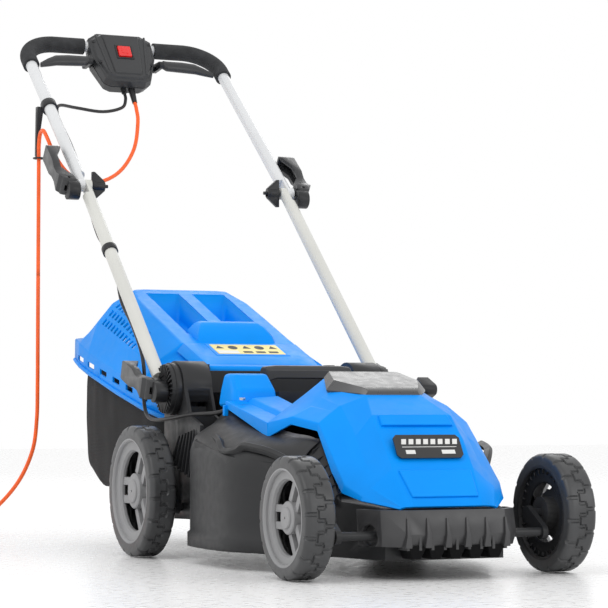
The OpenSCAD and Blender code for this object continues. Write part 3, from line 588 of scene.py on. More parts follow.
lead_lower = tube(
    "motor_lead_bottom", smooth_line([pt(*p) for p in lead_lower_points], 6), LEAD_R, None,
    LEAD, ["motor_lead_lower"],
)
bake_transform(lead_lower)

# ---- hood ----

HOOD_ROWS = [
    (-60, [(52, 96), (64, 95.6), (68, 95), (71, 94.4), (73, 93)]),
    (-14, [(60, 146), (81, 128), (92, 120), (104, 108), (107.6, 103)]),
    (16, [(61, 183), (86, 152), (97, 142), (118, 124), (121, 112)]),
    (50, [(60, 216), (85, 187), (98, 177), (117, 155), (121, 140)]),
    (105, [(42, 243), (83, 229), (94, 221), (115, 205), (117, 194)]),
    (160, [(54, 259), (86, 241), (102, 228), (131, 214), (133, 203)]),
    (205, [(56, 272), (88, 248), (112, 231), (149, 205), (150, 184)]),
]


def skin(name, rows, body, material, edge, wall, replaces=()):
    """A symmetric shell through rows of half outlines, from its crown to its lower edge."""
    verts, faces = [], []
    for y, half in rows:
        verts += [pt(-x, y, z) for x, z in reversed(half)] + [pt(x, y, z) for x, z in half]
    n = 2 * len(rows[0][1])
    for k in range(len(rows) - 1):
        for i in range(n - 1):
            faces.append((k * n + i, k * n + i + 1, (k + 1) * n + i + 1, (k + 1) * n + i))
    made = piece(name, verts, faces, body, material, replaces)
    bevel(made, edge, 4, 7.0)
    apply_modifiers(made)
    return solidify(made, wall)


hood_front = skin("hood_front", HOOD_ROWS, "deck", BLUE, 5.0, 3.0, ["hood"])
bevel(hood_front, 0.9, 2, 60)
solid(
    "hood_ledges",
    [
        [pt(66, 204, 206), pt(149.5, 204, 202), pt(149.5, 363, 233), pt(66, 363, 237)],
        [pt(66, 204, 209), pt(149.5, 204, 205), pt(149.5, 363, 236), pt(66, 363, 240)],
    ],
    "deck", BLUE, 1.2, both=True,
)
solid(
    "hood_ledge_walls",
    [
        [pt(146.5, 204, 184), pt(149.6, 204, 184), pt(149.6, 363, 226), pt(146.5, 363, 226)],
        [pt(146.5, 204, 205), pt(149.6, 204, 205), pt(149.6, 363, 236), pt(146.5, 363, 236)],
    ],
    "deck", BLUE, 1.2, both=True,
)
solid(
    "hood_ledge_steps",
    [
        [pt(70, 206, 207), pt(118, 206, 205), pt(124, 346, 232), pt(70, 346, 236)],
        [pt(74, 209, 216), pt(110, 209, 214), pt(116, 343, 241), pt(74, 343, 244)],
    ],
    "deck", BLUE, 2.5, both=True,
)
solid(
    "hood_recess_floor", block_rings((-70, 70), (204, 352), (204, 204), (207, 207)),
    "deck", BLUE, 0.8,
)
solid(
    "hood_recess_sides",
    [
        [pt(66, 204, 205), pt(69, 204, 205), pt(69, 363, 205), pt(66, 363, 205)],
        [pt(66, 204, 209), pt(69, 204, 209), pt(69, 363, 240), pt(66, 363, 240)],
    ],
    "deck", BLUE, 0.8, both=True,
)
solid(
    "hood_lead_holder", block_rings((-154, -147), (356, 363), (214, 214), (230, 230)),
    "deck", BLUE, 1.2,
)
solid(
    "hood_pods",
    [
        [pt(70, 349, 228), pt(134, 349, 228), pt(140, 362, 228), pt(140, 418, 228), pt(70, 418, 228)],
        [pt(71, 356, 252), pt(131, 356, 252), pt(137, 369, 252), pt(137, 416, 252), pt(71, 416, 252)],
        [pt(74, 382, 277), pt(124, 382, 277), pt(132, 392, 277), pt(132, 414, 277), pt(74, 414, 277)],
    ],
    "deck", BLUE, 6.0, both=True,
)


def front_face(y):
    """Height of the hood's crown at y, from its rows."""
    for (ya, a), (yb, b) in zip(HOOD_ROWS, HOOD_ROWS[1:]):
        if y <= yb:
            return a[0][1] + (b[0][1] - a[0][1]) * (y - ya) / (yb - ya)
    return HOOD_ROWS[-1][1][0][1]


def face_plate(name, y0, y1, half0, half1, lift, material, width):
    """A raised plate on the hood's sloping front."""
    normal = (0.0, -math.sin(math.radians(52)), math.cos(math.radians(52)))
    rings = []
    for height in (-1.5, lift):
        ring = []
        for x, y in ((-half0, y0), (half0, y0), (half1, y1), (-half1, y1)):
            shrink = 0.0 if height < 0 else 1.5
            x = x - math.copysign(shrink, x)
            ring.append(
                pt(x, y + normal[1] * height, front_face(y) + normal[2] * height)
            )
        rings.append(ring)
    return solid(name, rings, "deck", material, width)


face_plate("hood_brow", 34, 49, 55, 53, 4.0, BLUE, 1.5)
face_plate("hood_chin", -50, -18, 50, 55, 3.0, BLUE, 1.5)

# ---- badge: a plate with a plain pattern ----

BADGE_SLOPE = math.radians(58.5)


def on_badge(x, up, lift):
    y = 4 + up * math.cos(BADGE_SLOPE) - lift * math.sin(BADGE_SLOPE)
    z = 171.5 + up * math.sin(BADGE_SLOPE) + lift * math.cos(BADGE_SLOPE)
    return pt(x, y, z)


cad["front_badge"].data.materials.clear()
cad["front_badge"].data.materials.append(BADGE)


def badge_bar(x0, x1, up0, up1, lean):
    return [
        [
            on_badge(x0, up0, lift), on_badge(x1, up0, lift),
            on_badge(x1 + lean, up1, lift), on_badge(x0 + lean, up1, lift),
        ]
        for lift in (4.6, 5.5)
    ]


bars = [badge_bar(-40 + 11 * k, -33 + 11 * k, 3, 11, 2) for k in range(8)]
bars += [badge_bar(-40, 42, -1.6, -0.8, 0), badge_bar(-36, -22, -12, -6, 0), badge_bar(18, 38, -12, -6, 0)]
verts, faces = merged(bars)
badge_marks = piece("front_badge_pattern", verts, faces, "deck", PALE, smooth=False)
outward(badge_marks.data)

# ---- grass box ----

LID_ROWS = [
    (574, [(60, 285), (90, 284), (112, 262), (130, 248), (147, 236), (148, 202)]),
    (600, [(70, 294), (97, 293), (124, 272), (142, 258), (159, 243), (160, 207)]),
    (673, [(70, 319), (97, 318.5), (129, 298), (150, 286), (167.6, 258), (168, 222)]),
    (678, [(70, 330), (98, 330), (130, 308), (150, 296), (167.6, 259), (168, 223)]),
    (800, [(70, 376), (98, 376), (130, 350), (150, 332), (167.6, 285), (168, 248)]),
    (887, [(70, 409), (97, 408), (128, 384), (150, 358), (167.6, 306), (168, 268)]),
    (948, [(66, 431), (84, 430), (124, 406), (150, 374), (167.6, 321), (168, 282)]),
    (1004, [(60, 392), (80, 390), (116, 374), (146, 358), (165.6, 337), (166, 296)]),
    (1050, [(50, 352), (70, 351), (110, 350), (140, 349), (157.6, 347), (158, 306)]),
]
POCKET = [
    [(18, 745, 318), (66, 745, 318), (66, 905, 372), (18, 905, 372)],
    [(12, 725, 346), (72, 725, 346), (72, 925, 422), (12, 925, 422)],
]


def cut(made, rings_list):
    """Cuts closed solids out of a piece."""
    verts, faces = merged(rings_list)
    mesh = bpy.data.meshes.new("cutter")
    mesh.from_pydata([tuple(v) for v in verts], [], faces)
    outward(mesh)
    cutter = bpy.data.objects.new("cutter", mesh)
    bpy.context.scene.collection.objects.link(cutter)
    modifier = made.modifiers.new("cut", "BOOLEAN")
    modifier.operation = "DIFFERENCE"
    modifier.solver = "EXACT"
    modifier.object = cutter
    apply_modifiers(made)
    bpy.data.objects.remove(cutter)
    return made


def both_sides(rings):
    return [rings, [[Vector((-v[0], v[1], v[2])) for v in ring] for ring in rings]]


lid = skin("grass_box_lid_shell", LID_ROWS, "grass_box", BLUE, 5.0, 3.2, ["grass_box_lid"])
apply_modifiers(lid)
holes = both_sides([[pt(x, y, z + dz) for x, y, z in POCKET[1]] for dz in (-30, 40)])
for row in range(3):
    for k in range(11):
        y = 770 + 15 * k
        x = 118 + 12 * row
        z = 352 - 17 * row + 0.385 * (y - 770)
        slot_rings = [
            [
                pt(x, y, z + dz), pt(x + 8, y, z + dz - 7),
                pt(x + 8, y + 8, z + dz - 4), pt(x, y + 8, z + dz + 3),
            ]
            for dz in (-16, 18)
        ]
        holes += both_sides(slot_rings)
for y in (655, 720, 785, 850, 915, 975):
    z = 235 + (y - 655) * 0.21
    rim_hole = [
        [
            pt(160, y, z + dz), pt(175, y, z + dz),
            pt(175, y + 34, z + dz + 7), pt(160, y + 34, z + dz + 7),
        ]
        for dz in (0, 9)
    ]
    holes += both_sides(rim_hole)
cut(lid, holes)
tub_verts, tub_faces = [], []
for sign in (1, -1):
    start = len(tub_verts)
    for ring in POCKET:
        tub_verts += [pt(sign * x, y, z) for x, y, z in ring]
    tub_faces += [(start + i, start + (i + 1) % 4, start + 4 + (i + 1) % 4, start + 4 + i) for i in range(4)]
    tub_faces.append(tuple(start + i for i in range(4)))
tubs = piece("grass_box_pockets", tub_verts, tub_faces, "grass_box", BLUE)
outward(tubs.data)
tubs.data.flip_normals()
bevel(tubs, 6.0, 4, 20)
solidify(tubs, 2.0)
solid(
    "grass_box_brow",
    [
        [pt(-70, 676, 322), pt(70, 676, 322), pt(70, 742, 348), pt(-70, 742, 348)],
        [pt(-66, 688, 343), pt(66, 688, 343), pt(66, 740, 356), pt(-66, 740, 356)],
        [pt(-58, 702, 358), pt(58, 702, 358), pt(58, 738, 364), pt(-58, 738, 364)],
        [pt(-50, 716, 367), pt(50, 716, 367), pt(50, 736, 369), pt(-50, 736, 369)],
    ],
    "grass_box", BLUE, 5.0,
)
rim_line = [(half[-1][0], y, half[-1][1] + 3) for y, half in LID_ROWS if y != 678]
for sign, side in SIDES:
    line = smooth_line([pt(sign * (x - 0.5), y, z + 2) for x, y, z in rim_line], 5)
    tube("grass_box_rim_" + side, line, 0.0034, "grass_box", BLUE, (), 10)

BAG_ROWS = [
    (576, [(139, 234), (141, 200), (136, 112), (120, 104)]),
    (640, [(158, 246), (160, 210), (154, 106), (134, 97)]),
    (830, [(160, 262), (161, 220), (156, 106), (136, 96)]),
    (930, [(157, 280), (159, 230), (152, 112), (134, 95)]),
    (1015, [(146, 296), (150, 240), (146, 140), (124, 118)]),
]
BAG_START = BAG_ROWS[0][0]
BAG_LENGTH = BAG_ROWS[-1][0] - BAG_START


def bag_half(y):
    """The half outline of the bag at y, between its rows."""
    for (ya, a), (yb, b) in zip(BAG_ROWS, BAG_ROWS[1:]):
        if y <= yb:
            f = (y - ya) / (yb - ya)
            f = f * f * (3 - 2 * f) * 0.3 + f * 0.7
            return [(p[0] + (q[0] - p[0]) * f, p[1] + (q[1] - p[1]) * f) for p, q in zip(a, b)]
    return list(BAG_ROWS[-1][1])


def bag_ring(y):
    """One slightly wrinkled ring of the cloth, sagging along its floor."""
    half = [Vector((x, z, 0)) for x, z in bag_half(y)]
    side = smooth_line(half, 7)
    floor = [Vector((half[-1].x * (1 - k / 6), half[-1].y, 0)) for k in range(1, 7)]
    right = side + floor
    top = [Vector((half[0].x * (1 - k / 4), half[0].y, 0)) for k in range(4, 0, -1)]
    outline = top + right
    full = outline + [Vector((-v.x, v.y, 0)) for v in reversed(outline[1:-1])]
    ring = []
    for v in full:
        wrinkle = noise.noise(Vector((v.x * 0.012, y * 0.016, v.y * 0.02))) * 4.0
        wrinkle += noise.noise(Vector((v.x * 0.05, y * 0.04, v.y * 0.012))) * 1.6
        sag = -2.5 * math.cos(math.pi * v.x / 320) if v.y < 125 else 0.0
        pull = 1 - (max(wrinkle, -2.0) * 0.6) / 160
        ring.append(pt(v.x * pull, y, v.y + sag * math.sin(math.pi * (y - BAG_START) / BAG_LENGTH)))
    return ring


bag_rings = [bag_ring(BAG_START + BAG_LENGTH * k / 40) for k in range(41)]
verts, faces = rings_mesh(bag_rings)
bag = piece("grass_bag_cloth", verts, faces, "grass_box", MESH, ["grass_bag"])
outward(bag.data)
bag_edges = bag.modifiers.new("round", "SUBSURF")
bag_edges.levels = bag_edges.render_levels = 1
for side, index in (("right", len(bag_rings[0]) - 22), ("left", 18)):
    tube(
        "bag_seam_" + side, [ring[index] for ring in bag_rings[1:-1]], 0.0018,
        "grass_box", FOAM, (), 8,
    )

# ---- rear flap and its label ----

soften("rear_flap", 1.3, BLUE)


def on_flap(x, y, lift):
    return pt(x, y, 304.5 + (y - 600) * 26.0 / 72 + lift)


def flap_plate(name, x, y, lift0, lift1, material, width):
    rings = [
        [on_flap(x[0], y[0], f), on_flap(x[1], y[0], f), on_flap(x[1], y[1], f), on_flap(x[0], y[1], f)]
        for f in (lift0, lift1)
    ]
    return solid(name, rings, "rear_flap", material, width)


flap_plate("flap_frame", (-64, 64), (614, 668), -0.8, 0.7, BLUE, 0.4)
flap_plate("flap_label", (-58, 58), (619, 663), 0.2, 1.1, YELLOW, 0.15)
flap_plate("flap_label_panel", (-56, -20), (621, 634), 0.9, 1.3, PALE, 0.1)


def round_mark(middle, count):
    """A mark with a number of corners: three for a triangle, many for a disc."""
    return [
        [on_flap(middle + 8 * math.sin(a), 648 + 8 * math.cos(a), lift) for a in turn(count)]
        for lift in (0.9, 1.45)
    ]


def bar_mark(x):
    return [
        [
            on_flap(x - 8, 624, lift), on_flap(x + 8, 624, lift),
            on_flap(x + 8, 631, lift), on_flap(x - 8, 631, lift),
        ]
        for lift in (0.9, 1.4)
    ]


marks = [round_mark(-46 + 23 * k, 3 if k % 2 == 0 else 14) for k in range(5)]
marks += [bar_mark(-4 + 22 * k) for k in range(3)]
verts, faces = merged(marks)
label_marks = piece("flap_label_shapes", verts, faces, "rear_flap", INK, smooth=False)
outward(label_marks.data)

# ---- hood trim and carry handle ----

# Sections from front to rear: y, half width and height of the edge, then of the flat top
TRIM_SHAPE = [
    (108, 42, 243, 38, 249.5), (116, 50, 246, 44, 254.5),
    (162, 78, 251, 66, 265), (205.5, 62, 269, 54, 278),
]
solid(
    "hood_trim_plate",
    [
        [
            pt(-edge, y, low), pt(-flat, y, high), pt(flat, y, high), pt(edge, y, low),
            pt(edge - 5, y, low - 9), pt(5 - edge, y, low - 9),
        ]
        for y, edge, low, flat, high in TRIM_SHAPE
    ],
    "deck", TRIM, 0.8, ["hood_trim"],
)
# Half length along x, half depth, and the heights of the underside and top of the grip
GRIP_Y = 408
GRIP_END = (70, 14, 264, 288)
GRIP_MIDDLE = (52, 12.5, 269.5, 290)


def grip_section(side, half, deep, low, top):
    x = side * half
    front, back = GRIP_Y - deep, GRIP_Y + deep
    return [
        pt(x, front, low), pt(x, back, low), pt(x, back, 284),
        pt(x, back - 6, top), pt(x, front + 6, top), pt(x, front, 284),
    ]


solid(
    "carry_handle_grip",
    [
        grip_section(-1, *GRIP_END), grip_section(-1, *GRIP_MIDDLE),
        grip_section(1, *GRIP_MIDDLE), grip_section(1, *GRIP_END),
    ],
    "deck", SATIN, 2.5, ["carry_handle"],
)

# ---- deck ----

soften("deck_housing", 0.9, GREY, 35)
soften("rear_housing", 0.9, GREY, 35)
solid(
    "tunnel_lip", block_rings((-99, 99), (553, 561), (246, 246), (284, 284)),
    "deck", DARK, 0.8,
)
soften("front_bumper", 1.6, BUMPER)
BUMPER_RIBS = 6
RIB_STEP = 29
for k in range(BUMPER_RIBS):
    x = (k - (BUMPER_RIBS - 1) / 2) * RIB_STEP
    solid(
        "bumper_rib_%d" % k,
        [
            level_quad(x - 5, x + 5, -88, -74, 43),
            level_quad(x - 3, x + 3, -89, -78, 60),
            level_quad(x - 1, x + 1, -83, -76, 82),
        ],
        "deck", BUMPER, 0.8,
    )
# Near-black blocks behind the bumper ribs are painted shade: they stand in for the shadow under the bumper
# between its ribs.
for k in range(BUMPER_RIBS - 1):
    x = (k - (BUMPER_RIBS - 2) / 2) * RIB_STEP
    solid(
        "bumper_tooth_%d" % k,
        [level_quad(x - 7, x + 6, -80, -52, 28), level_quad(x - 13, x + 13, -84, -52, 45)],
        "deck", SHADE, 0.8,
    )
for sign, side in SIDES:
    for k in range(7):
        y = 432 + 10 * k
        low, high = 118 + 4 * k, 196 - 2 * k
        solid(
            "tunnel_rib_%s_%d" % (side, k),
            [
                level_quad(sign * 150, sign * (176 + 2 * k), y, y + 3.4, low),
                level_quad(sign * 150, sign * (168 + k), y, y + 3.4, high),
            ],
            "deck", DARK, 0.8,
        )

# The deck's side from the wheel arch to the rear: its plan, the height where its wall turns
# into the dome, and the dome's upper edge. The skin stands proud of the CAD wall.
DOME_PLAN = [(142, 102), (172, 150), (203, 226), (203, 352), (190, 392), (166, 424)]
DOME_TURN = [146, 150, 158, 178, 172, 165]
DOME_TOP = [
    (112, 104, 180), (118, 130, 186), (126, 190, 192), (132, 340, 215), (132, 375, 218),
    (132, 414, 218),
]
PROUD = 1.2
SKIRT_Z, WALL_Z, SKIRT_OUT = 25.0, 48.0, 4.0
SWELL = 7.0
plan = smooth_line([Vector((x + PROUD, y, 0)) for x, y in DOME_PLAN], 6)
middle = smooth_line([Vector((z, 0, 0)) for z in DOME_TURN], 6)
top = smooth_line([Vector((x, y, z + PROUD)) for x, y, z in DOME_TOP], 6)
# The stepped rib over the dome
LIP_ROUTE = (
    (138, 98, 134), (146, 108, 146), (160, 128, 158), (172, 150, 166), (180, 176, 170),
    (186, 200, 172), (191, 212, 166), (196, 226, 163), (198, 246, 164), (196, 262, 172),
    (193, 276, 178), (189, 300, 183),
)


def side_dome(sign, side):
    rings = []
    for p, m, t in zip(plan, middle, top):
        skirt_x = p.x + SKIRT_OUT
        profile = [
            Vector((skirt_x, p.y, SKIRT_Z)), Vector((skirt_x, p.y, WALL_Z - 3.0)),
            Vector((p.x, p.y, WALL_Z)),
        ]
        for f in (0.25, 0.5, 0.75, 1.0):
            profile.append(Vector((p.x, p.y, WALL_Z + (m.x - 62.0) * f)))
        for f in (0.12, 0.25, 0.4, 0.55, 0.7, 0.85, 1.0):
            flat = Vector((p.x, p.y, m.x)).lerp(t, f)
            swell = SWELL * math.sin(math.pi * f) * (1 - f * 0.4)
            flat.z += swell * 0.6
            flat.x += swell * 0.5
            profile.append(flat)
        rings.append([pt(sign * v.x, v.y, v.z) for v in profile])
    n = len(rings[0])
    verts = [v for ring in rings for v in ring]
    faces = [
        (k * n + i, k * n + i + 1, (k + 1) * n + i + 1, (k + 1) * n + i)
        for k in range(len(rings) - 1)
        for i in range(n - 1)
    ]
    dome = piece("deck_side_" + side, verts, faces, "deck", GREY)
    outward(dome.data)
    if sum(p.normal.x * p.area for p in dome.data.polygons) * sign < 0:
        dome.data.flip_normals()
    solidify(dome, 1.0)


def deck_lip(sign, side):
    lip = smooth_line([pt(sign * x, y, z) for x, y, z in LIP_ROUTE], 5)
    section = ((-5.5, -4), (5.5, -4), (3.6, 6), (-3.6, 6))
    band = []
    for i, p in enumerate(lip):
        way = (lip[min(i + 1, len(lip) - 1)] - lip[max(i - 1, 0)]).normalized()
        out = Vector((sign * 0.72, -0.15, 0.68))
        out = (out - out.dot(way) * way).normalized()
        across = way.cross(out)
        band.append([p + MM * (a * across + b * out) for a, b in section])
    solid("deck_lip_" + side, band, "deck", GREY, 1.4)


def arch_ribs(sign, side):
    inner = sign * 108
    for k in range(6):
        y = 46 + 11 * k
        low, high = sign * (124 + 2 * k), sign * (116 + 2 * k)
        top_in, top_out = 112 + 13 * k, 108 + 12 * k
        solid(
            "arch_rib_%s_%d" % (side, k),
            [
                [pt(inner, y, 96), pt(low, y, 92), pt(low, y + 3, 92), pt(inner, y + 3, 96)],
                [
                    pt(inner, y, top_in), pt(high, y, top_out),
                    pt(high, y + 3, top_out), pt(inner, y + 3, top_in),
                ],
            ],
            "deck", GREY, 0.7,
        )


for sign, side in SIDES:
    side_dome(sign, side)
    deck_lip(sign, side)
    arch_ribs(sign, side)

# ---- wheels ----


def tyre_mesh(radius, width, outer, lugs, sign):
    """A tyre whose tread is cut into blocks by narrow stepped grooves. Its axis is along X."""
    steps = lugs * 20
    across = [
        (0.80, 0.0), (0.86, -0.01), (0.92, 0.0), (0.955, 0.02), (0.985, 0.07), (1.0, 0.13),
        (1.0, 0.20), (1.0, 0.27), (1.0, 0.33), (1.0, 0.36), (1.0, 0.40), (1.0, 0.43),
        (1.0, 0.50), (1.0, 0.57), (1.0, 0.60), (1.0, 0.64), (1.0, 0.67), (1.0, 0.73),
        (1.0, 0.80), (1.0, 0.87), (0.985, 0.93), (0.955, 0.98), (0.92, 1.0), (0.86, 1.01), (0.80, 1.0),
    ]
    rings = []
    for k in range(steps):
        ring = []
        for share, place in across:
            phase = (k * lugs / steps) % 1.0
            step_at = 0.385 if phase < 0.5 else 0.615
            outer_groove = place < 0.42 and abs(phase - 0.25) < 0.075
            inner_groove = place > 0.58 and abs(phase - 0.75) < 0.075
            cross_groove = 0.38 < place < 0.62 and min(phase, abs(phase - 0.5), 1 - phase) < 0.075
            ring_groove = abs(place - step_at) < 0.04
            deep = outer_groove or inner_groove or cross_groove or ring_groove
            depth = 2.4 if deep and share > 0.95 else 0.0
            r = min(share, 0.9985) * radius - depth
            a = 2 * math.pi * k / steps
            inset = max(0.3, min(width - 0.3, place * width))
            ring.append(Vector((sign * (outer - inset), r * math.sin(a), r * math.cos(a))))
        rings.append(ring)
    n = len(across)
    verts = [v for ring in rings for v in ring]
    faces = []
    for k in range(steps):
        following = (k + 1) % steps
        for i in range(n):
            j = (i + 1) % n
            faces.append((k * n + i, k * n + j, following * n + j, following * n + i))
    return verts, faces


def lathe(profile, y, z, sign, sides=96):
    """Rings of a turned part about the wheel's axis, from a profile of x from the middle and radius."""
    return [
        [
            pt(sign * x, y + r * math.sin(a), z + r * math.cos(a))
            for a in (2 * math.pi * k / sides for k in range(sides))
        ]
        for x, r in profile
    ]


def turned(name, profile, y, z, sign, body, material):
    """A closed turned ring, from a profile that goes all the way round its own section."""
    rings = lathe(profile + [profile[0]], y, z, sign)
    verts, faces = rings_mesh(rings, False)
    made = piece(name, verts, faces, body, material)
    edit = bmesh.new()
    edit.from_mesh(made.data)
    bmesh.ops.remove_doubles(edit, verts=edit.verts, dist=1e-7)
    bmesh.ops.recalc_face_normals(edit, faces=edit.faces)
    edit.to_mesh(made.data)
    edit.free()
    made.data.set_sharp_from_angle(angle=math.radians(30))
    return made


WEB_RIBS = 30


def web_ribs(radius, y, z, sign, back):
    """Short radial ribs on the inner side of a wheel, whose web starts at x = back."""
    ribs = []
    for a in turn(WEB_RIBS):
        along = Vector((0.0, math.sin(a), math.cos(a))) * radius
        near, far = along * 0.66, along * 0.785
        across = Vector((0.0, math.cos(a), -math.sin(a))) * 0.8
        corners = (near - across, near + across, far + across, far - across)
        ribs.append(
            [
                [pt(sign * x, y + v.y, z + v.z) for v in corners]
                for x in (back - 2.2, back + 1)
            ]
        )
    return ribs


# End, then y and z of the axis, radius, width, outer face from the middle, lugs, rim material
WHEELS = [
    ("front", 0.0, 81.5, 81.5, 43.0, 215.0, 16, FRONT_RIM),
    ("rear", 536.0, 99.5, 99.5, 42.0, 238.0, 18, REAR_RIM),
]
for end, y, z, radius, width, outer, lugs, rim_material in WHEELS:
    for sign, side in SIDES:
        verts, faces = tyre_mesh(radius, width, outer, lugs, sign)
        verts = [pt(v.x, v.y + y, v.z + z) for v in verts]
        name = "%s_tyre_%s" % (end, side)
        body = "%s_wheel_%s" % (end, side)
        made = piece(name + "_tread", verts, faces, body, TYRE, [name])
        outward(made.data)
        made.data.set_sharp_from_angle(angle=math.radians(35))
        soften("%s_rim_%s" % (end, side), 1.0, rim_material, 30)
        out = outer - 2.5
        turned(
            "%s_rim_face_%s" % (end, side),
            [
                (out, 0.795 * radius), (out - 0.5, 0.765 * radius), (out - 3.5, 0.755 * radius),
                (out - 4.5, 0.63 * radius), (out - 8, 0.605 * radius), (out - 12, 0.605 * radius),
                (out - 12, 0.64 * radius), (out - 8, 0.70 * radius), (out - 8, 0.795 * radius),
            ],
            y, z, sign, body, rim_material,
        )
        turned(
            "%s_hub_face_%s" % (end, side),
            [
                (out - 1.5, 0.02 * radius), (out - 1.5, 0.165 * radius), (out - 3, 0.18 * radius),
                (out - 4, 0.18 * radius), (out - 4.5, 0.20 * radius), (out - 4.5, 0.25 * radius),
                (out - 6, 0.27 * radius), (out - 12, 0.27 * radius), (out - 12, 0.02 * radius),
            ],
            y, z, sign, body, rim_material,
        )
        back = outer - width + 6
        turned(
            "%s_rim_web_%s" % (end, side),
            [
                (back, 0.79 * radius), (back, 0.53 * radius), (back + 1.5, 0.5 * radius),
                (back + 3, 0.53 * radius), (back + 3, 0.79 * radius),
            ],
            y, z, sign, body, DARK,
        )
        verts, faces = merged(web_ribs(radius, y, z, sign, back))
        made = piece("%s_rim_ribs_%s" % (end, side), verts, faces, body, DARK)
        outward(made.data)

# ---- handle ----

BAR_Y, BAR_Z = 1282.95, 901.22
BOX_SLOPE = math.radians(55)


def box_point(x, along, out):
    """A point in the switch box's own frame: along runs up its face and out leaves it."""
    return pt(
        x,
        BAR_Y + along * math.cos(BOX_SLOPE) - out * math.sin(BOX_SLOPE),
        BAR_Z + along * math.sin(BOX_SLOPE) + out * math.cos(BOX_SLOPE),
    )


BOX_OUTLINE = [
    (-63, 10), (-63, -34), (-46, -90), (-34, -97), (34, -97), (46, -90), (63, -34), (63, 10),
    (44, 24), (-44, 24),
]


def box_level(out, inset):
    ring = []
    for x, along in BOX_OUTLINE:
        x -= math.copysign(inset, x)
        along -= math.copysign(inset, along + 40)
        ring.append(box_point(x, along, out))
    return ring


solid(
    "switch_box_top",
    [box_level(0.3, 0.0), box_level(14, 1.5), box_level(14.2, 5.0), box_level(20, 9.0)],
    "upper_handle", SATIN, 2.6, ["switch_box_cover"],
)
solid(
    "switch_box_bottom",
    [box_level(-0.3, 0.0), box_level(-24, 6.0)],
    "upper_handle", DARK, 3.0, ["switch_box_base"],
)
solid(
    "switch_box_plinth",
    [
        [box_point(-38, 16, 18), box_point(38, 16, 18), box_point(28, -84, 18), box_point(-28, -84, 18)],
        [box_point(-35, 13, 23), box_point(35, 13, 23), box_point(25.5, -80, 23), box_point(-25.5, -80, 23)],
    ],
    "upper_handle", SATIN, 1.6,
)
for sign, side in SIDES:
    ridge = [(sign * 46, 14), (sign * 50, 14), (sign * 37, -82), (sign * 33, -82)]
    solid(
        "switch_box_ridge_" + side,
        [[box_point(x, along, out) for x, along in ridge] for out in (18, 21.4)],
        "upper_handle", SATIN, 1.2,
    )
bezel_rings = []
for out, grow in ((22, 4.5), (24.6, 3.6), (24.6, 0.8), (22.2, 0.6)):
    bezel_rings.append(
        [
            box_point(-13 - grow, -43 - grow, out), box_point(13 + grow, -43 - grow, out),
            box_point(13 + grow, -17 + grow, out), box_point(-13 - grow, -17 + grow, out),
        ]
    )
solid("button_bezel", bezel_rings, "upper_handle", DARK, 0.7)
for k, (x, along) in enumerate(((-54, -4), (54, -4), (-50, -54), (50, -54))):
    screw = []
    for out, r in ((18.0, 3.4), (20.6, 3.2), (20.6, 2.0), (19.6, 1.8)):
        screw.append(
            [box_point(x + r * math.cos(a), along + r * math.sin(a), out) for a in turn(20)]
        )
    solid("box_screw_%d" % k, screw, "upper_handle", DARK, 0)


def button_level(out, half):
    return [
        box_point(-half, -30 - half, out), box_point(half, -30 - half, out),
        box_point(half, -30 + half, out), box_point(-half, -30 + half, out),
    ]


solid(
    "lock_button_cap", [button_level(14, 11.5), button_level(23, 13), button_level(27.5, 12.4)],
    "lock_button", RED, 1.8, ["lock_button"],
)
solid(
    "lock_button_dish", [button_level(27.3, 7), button_level(28.4, 6)],
    "lock_button", RED, 0.9,
)
for sign, side in SIDES:
    paddle = []
    for x, along, out, tall, thick in (
        (74, -51, 17, 8.5, 7.5), (80, -54, 17, 10.5, 8), (112, -55, 17, 11.5, 8),
        (136, -57, 17, 11, 7.5), (152, -64, 18, 9, 6), (169, -73, 19.5, 5, 4),
    ):
        paddle.append(
            [
                box_point(sign * x, along + tall * math.cos(a), out + thick * math.sin(a))
                for a in turn(20)
            ]
        )
    solid("start_paddle_" + side, paddle, "start_lever", SATIN, 0.8)
# CAD nodes whose shape is right and only needs rounded edges
for node, width, material, slot in (
    ("height_lever", 1.5, DARK, "trim_dark"),
    ("pivot_disc_right", 0.6, DARK, "trim_dark"),
    ("pivot_disc_left", 0.6, DARK, "trim_dark"),
    ("handle_bolts", 1.0, DARK, "steel"),
    ("pivot_lever_right", 2.2, SATIN, "lever_dark"),
    ("pivot_lever_left", 2.2, SATIN, "lever_dark"),
    ("joint_lever_right", 2.2, SATIN, "lever_dark"),
    ("joint_lever_left", 2.2, SATIN, "lever_dark"),
    ("wing_knob_right", 1.6, DARK, "trim_dark"),
    ("wing_knob_left", 1.6, DARK, "trim_dark"),
    ("cable_hook", 0.8, DARK, "trim_dark"),
    ("lead_clip", 0.8, DARK, "trim_dark"),
    ("start_lever", 1.2, DARK, "trim_dark"),
    ("blade", 0.4, STEEL, "steel"),
    ("motor_can", 1.0, STEEL, "steel"),
):
    soften(node, width, material)
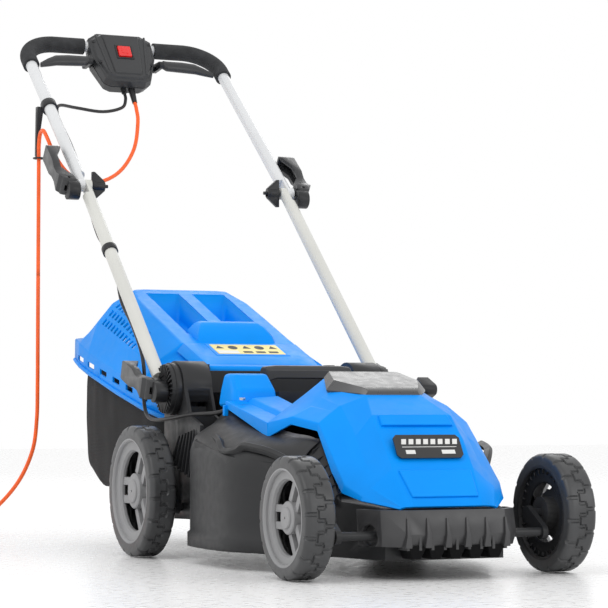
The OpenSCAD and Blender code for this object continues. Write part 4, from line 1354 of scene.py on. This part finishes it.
# CAD nodes that are shown as they are
for name, material in (
    ("upper_tube", SILVER), ("lower_tube_right", CREAM), ("lower_tube_left", CREAM),
    ("grip_right", FOAM), ("grip_left", FOAM), ("switch_block", WHITE),
    ("lead_gland", DARK), ("strain_relief", DARK), ("cooling_fan", DARK), ("blade_hub", DARK),
    ("rotor_shaft", STEEL), ("blade_bolt", STEEL), ("motor_bearings", STEEL),
    ("deck_fasteners", STEEL), ("flap_pin", STEEL), ("front_axle", DARK), ("rear_axle", DARK),
    ("bag_frame", STEEL),
):
    cad[name].data.materials.clear()
    cad[name].data.materials.append(material)

# ---- studio ----

FLOOR_HALF = 9
FLOOR_Z = -0.0006
floor_mesh = bpy.data.meshes.new("floor")
floor_corners = [
    (x * FLOOR_HALF, y * FLOOR_HALF, FLOOR_Z) for x, y in ((-1, -1), (1, -1), (1, 1), (-1, 1))
]
floor_mesh.from_pydata(floor_corners, [], [(0, 1, 2, 3)])
floor = bpy.data.objects.new("floor", floor_mesh)
bpy.context.scene.collection.objects.link(floor)
floor_mesh.materials.append(surface("floor_white", (0.93, 0.93, 0.93), 0.3, vary=0.004, grain_depth=0.0))

world = bpy.data.worlds.new("studio")
bpy.context.scene.world = world
world.use_nodes = True
world.node_tree.nodes["Background"].inputs["Color"].default_value = (1.0, 1.0, 1.0, 1.0)
world.node_tree.nodes["Background"].inputs["Strength"].default_value = 1.0


def softbox(name, at, aim, size, power):
    data = bpy.data.lights.new(name, "AREA")
    data.shape = "RECTANGLE"
    data.size, data.size_y = size
    data.energy = power
    lamp = bpy.data.objects.new(name, data)
    bpy.context.scene.collection.objects.link(lamp)
    lamp.location = at
    lamp.rotation_euler = (Vector(aim) - Vector(at)).to_track_quat("-Z", "Y").to_euler()


softbox("key", (-2.2, -1.6, 2.8), (0, -0.1, 0.4), (2.4, 1.8), 26)
softbox("front", (1.6, -3.2, 1.6), (0, -0.3, 0.3), (1.6, 1.6), 14)
softbox("rim", (1.2, 2.6, 2.2), (0, 0.3, 0.5), (2.0, 1.0), 12)
bpy.context.scene.view_settings.view_transform = "Standard"
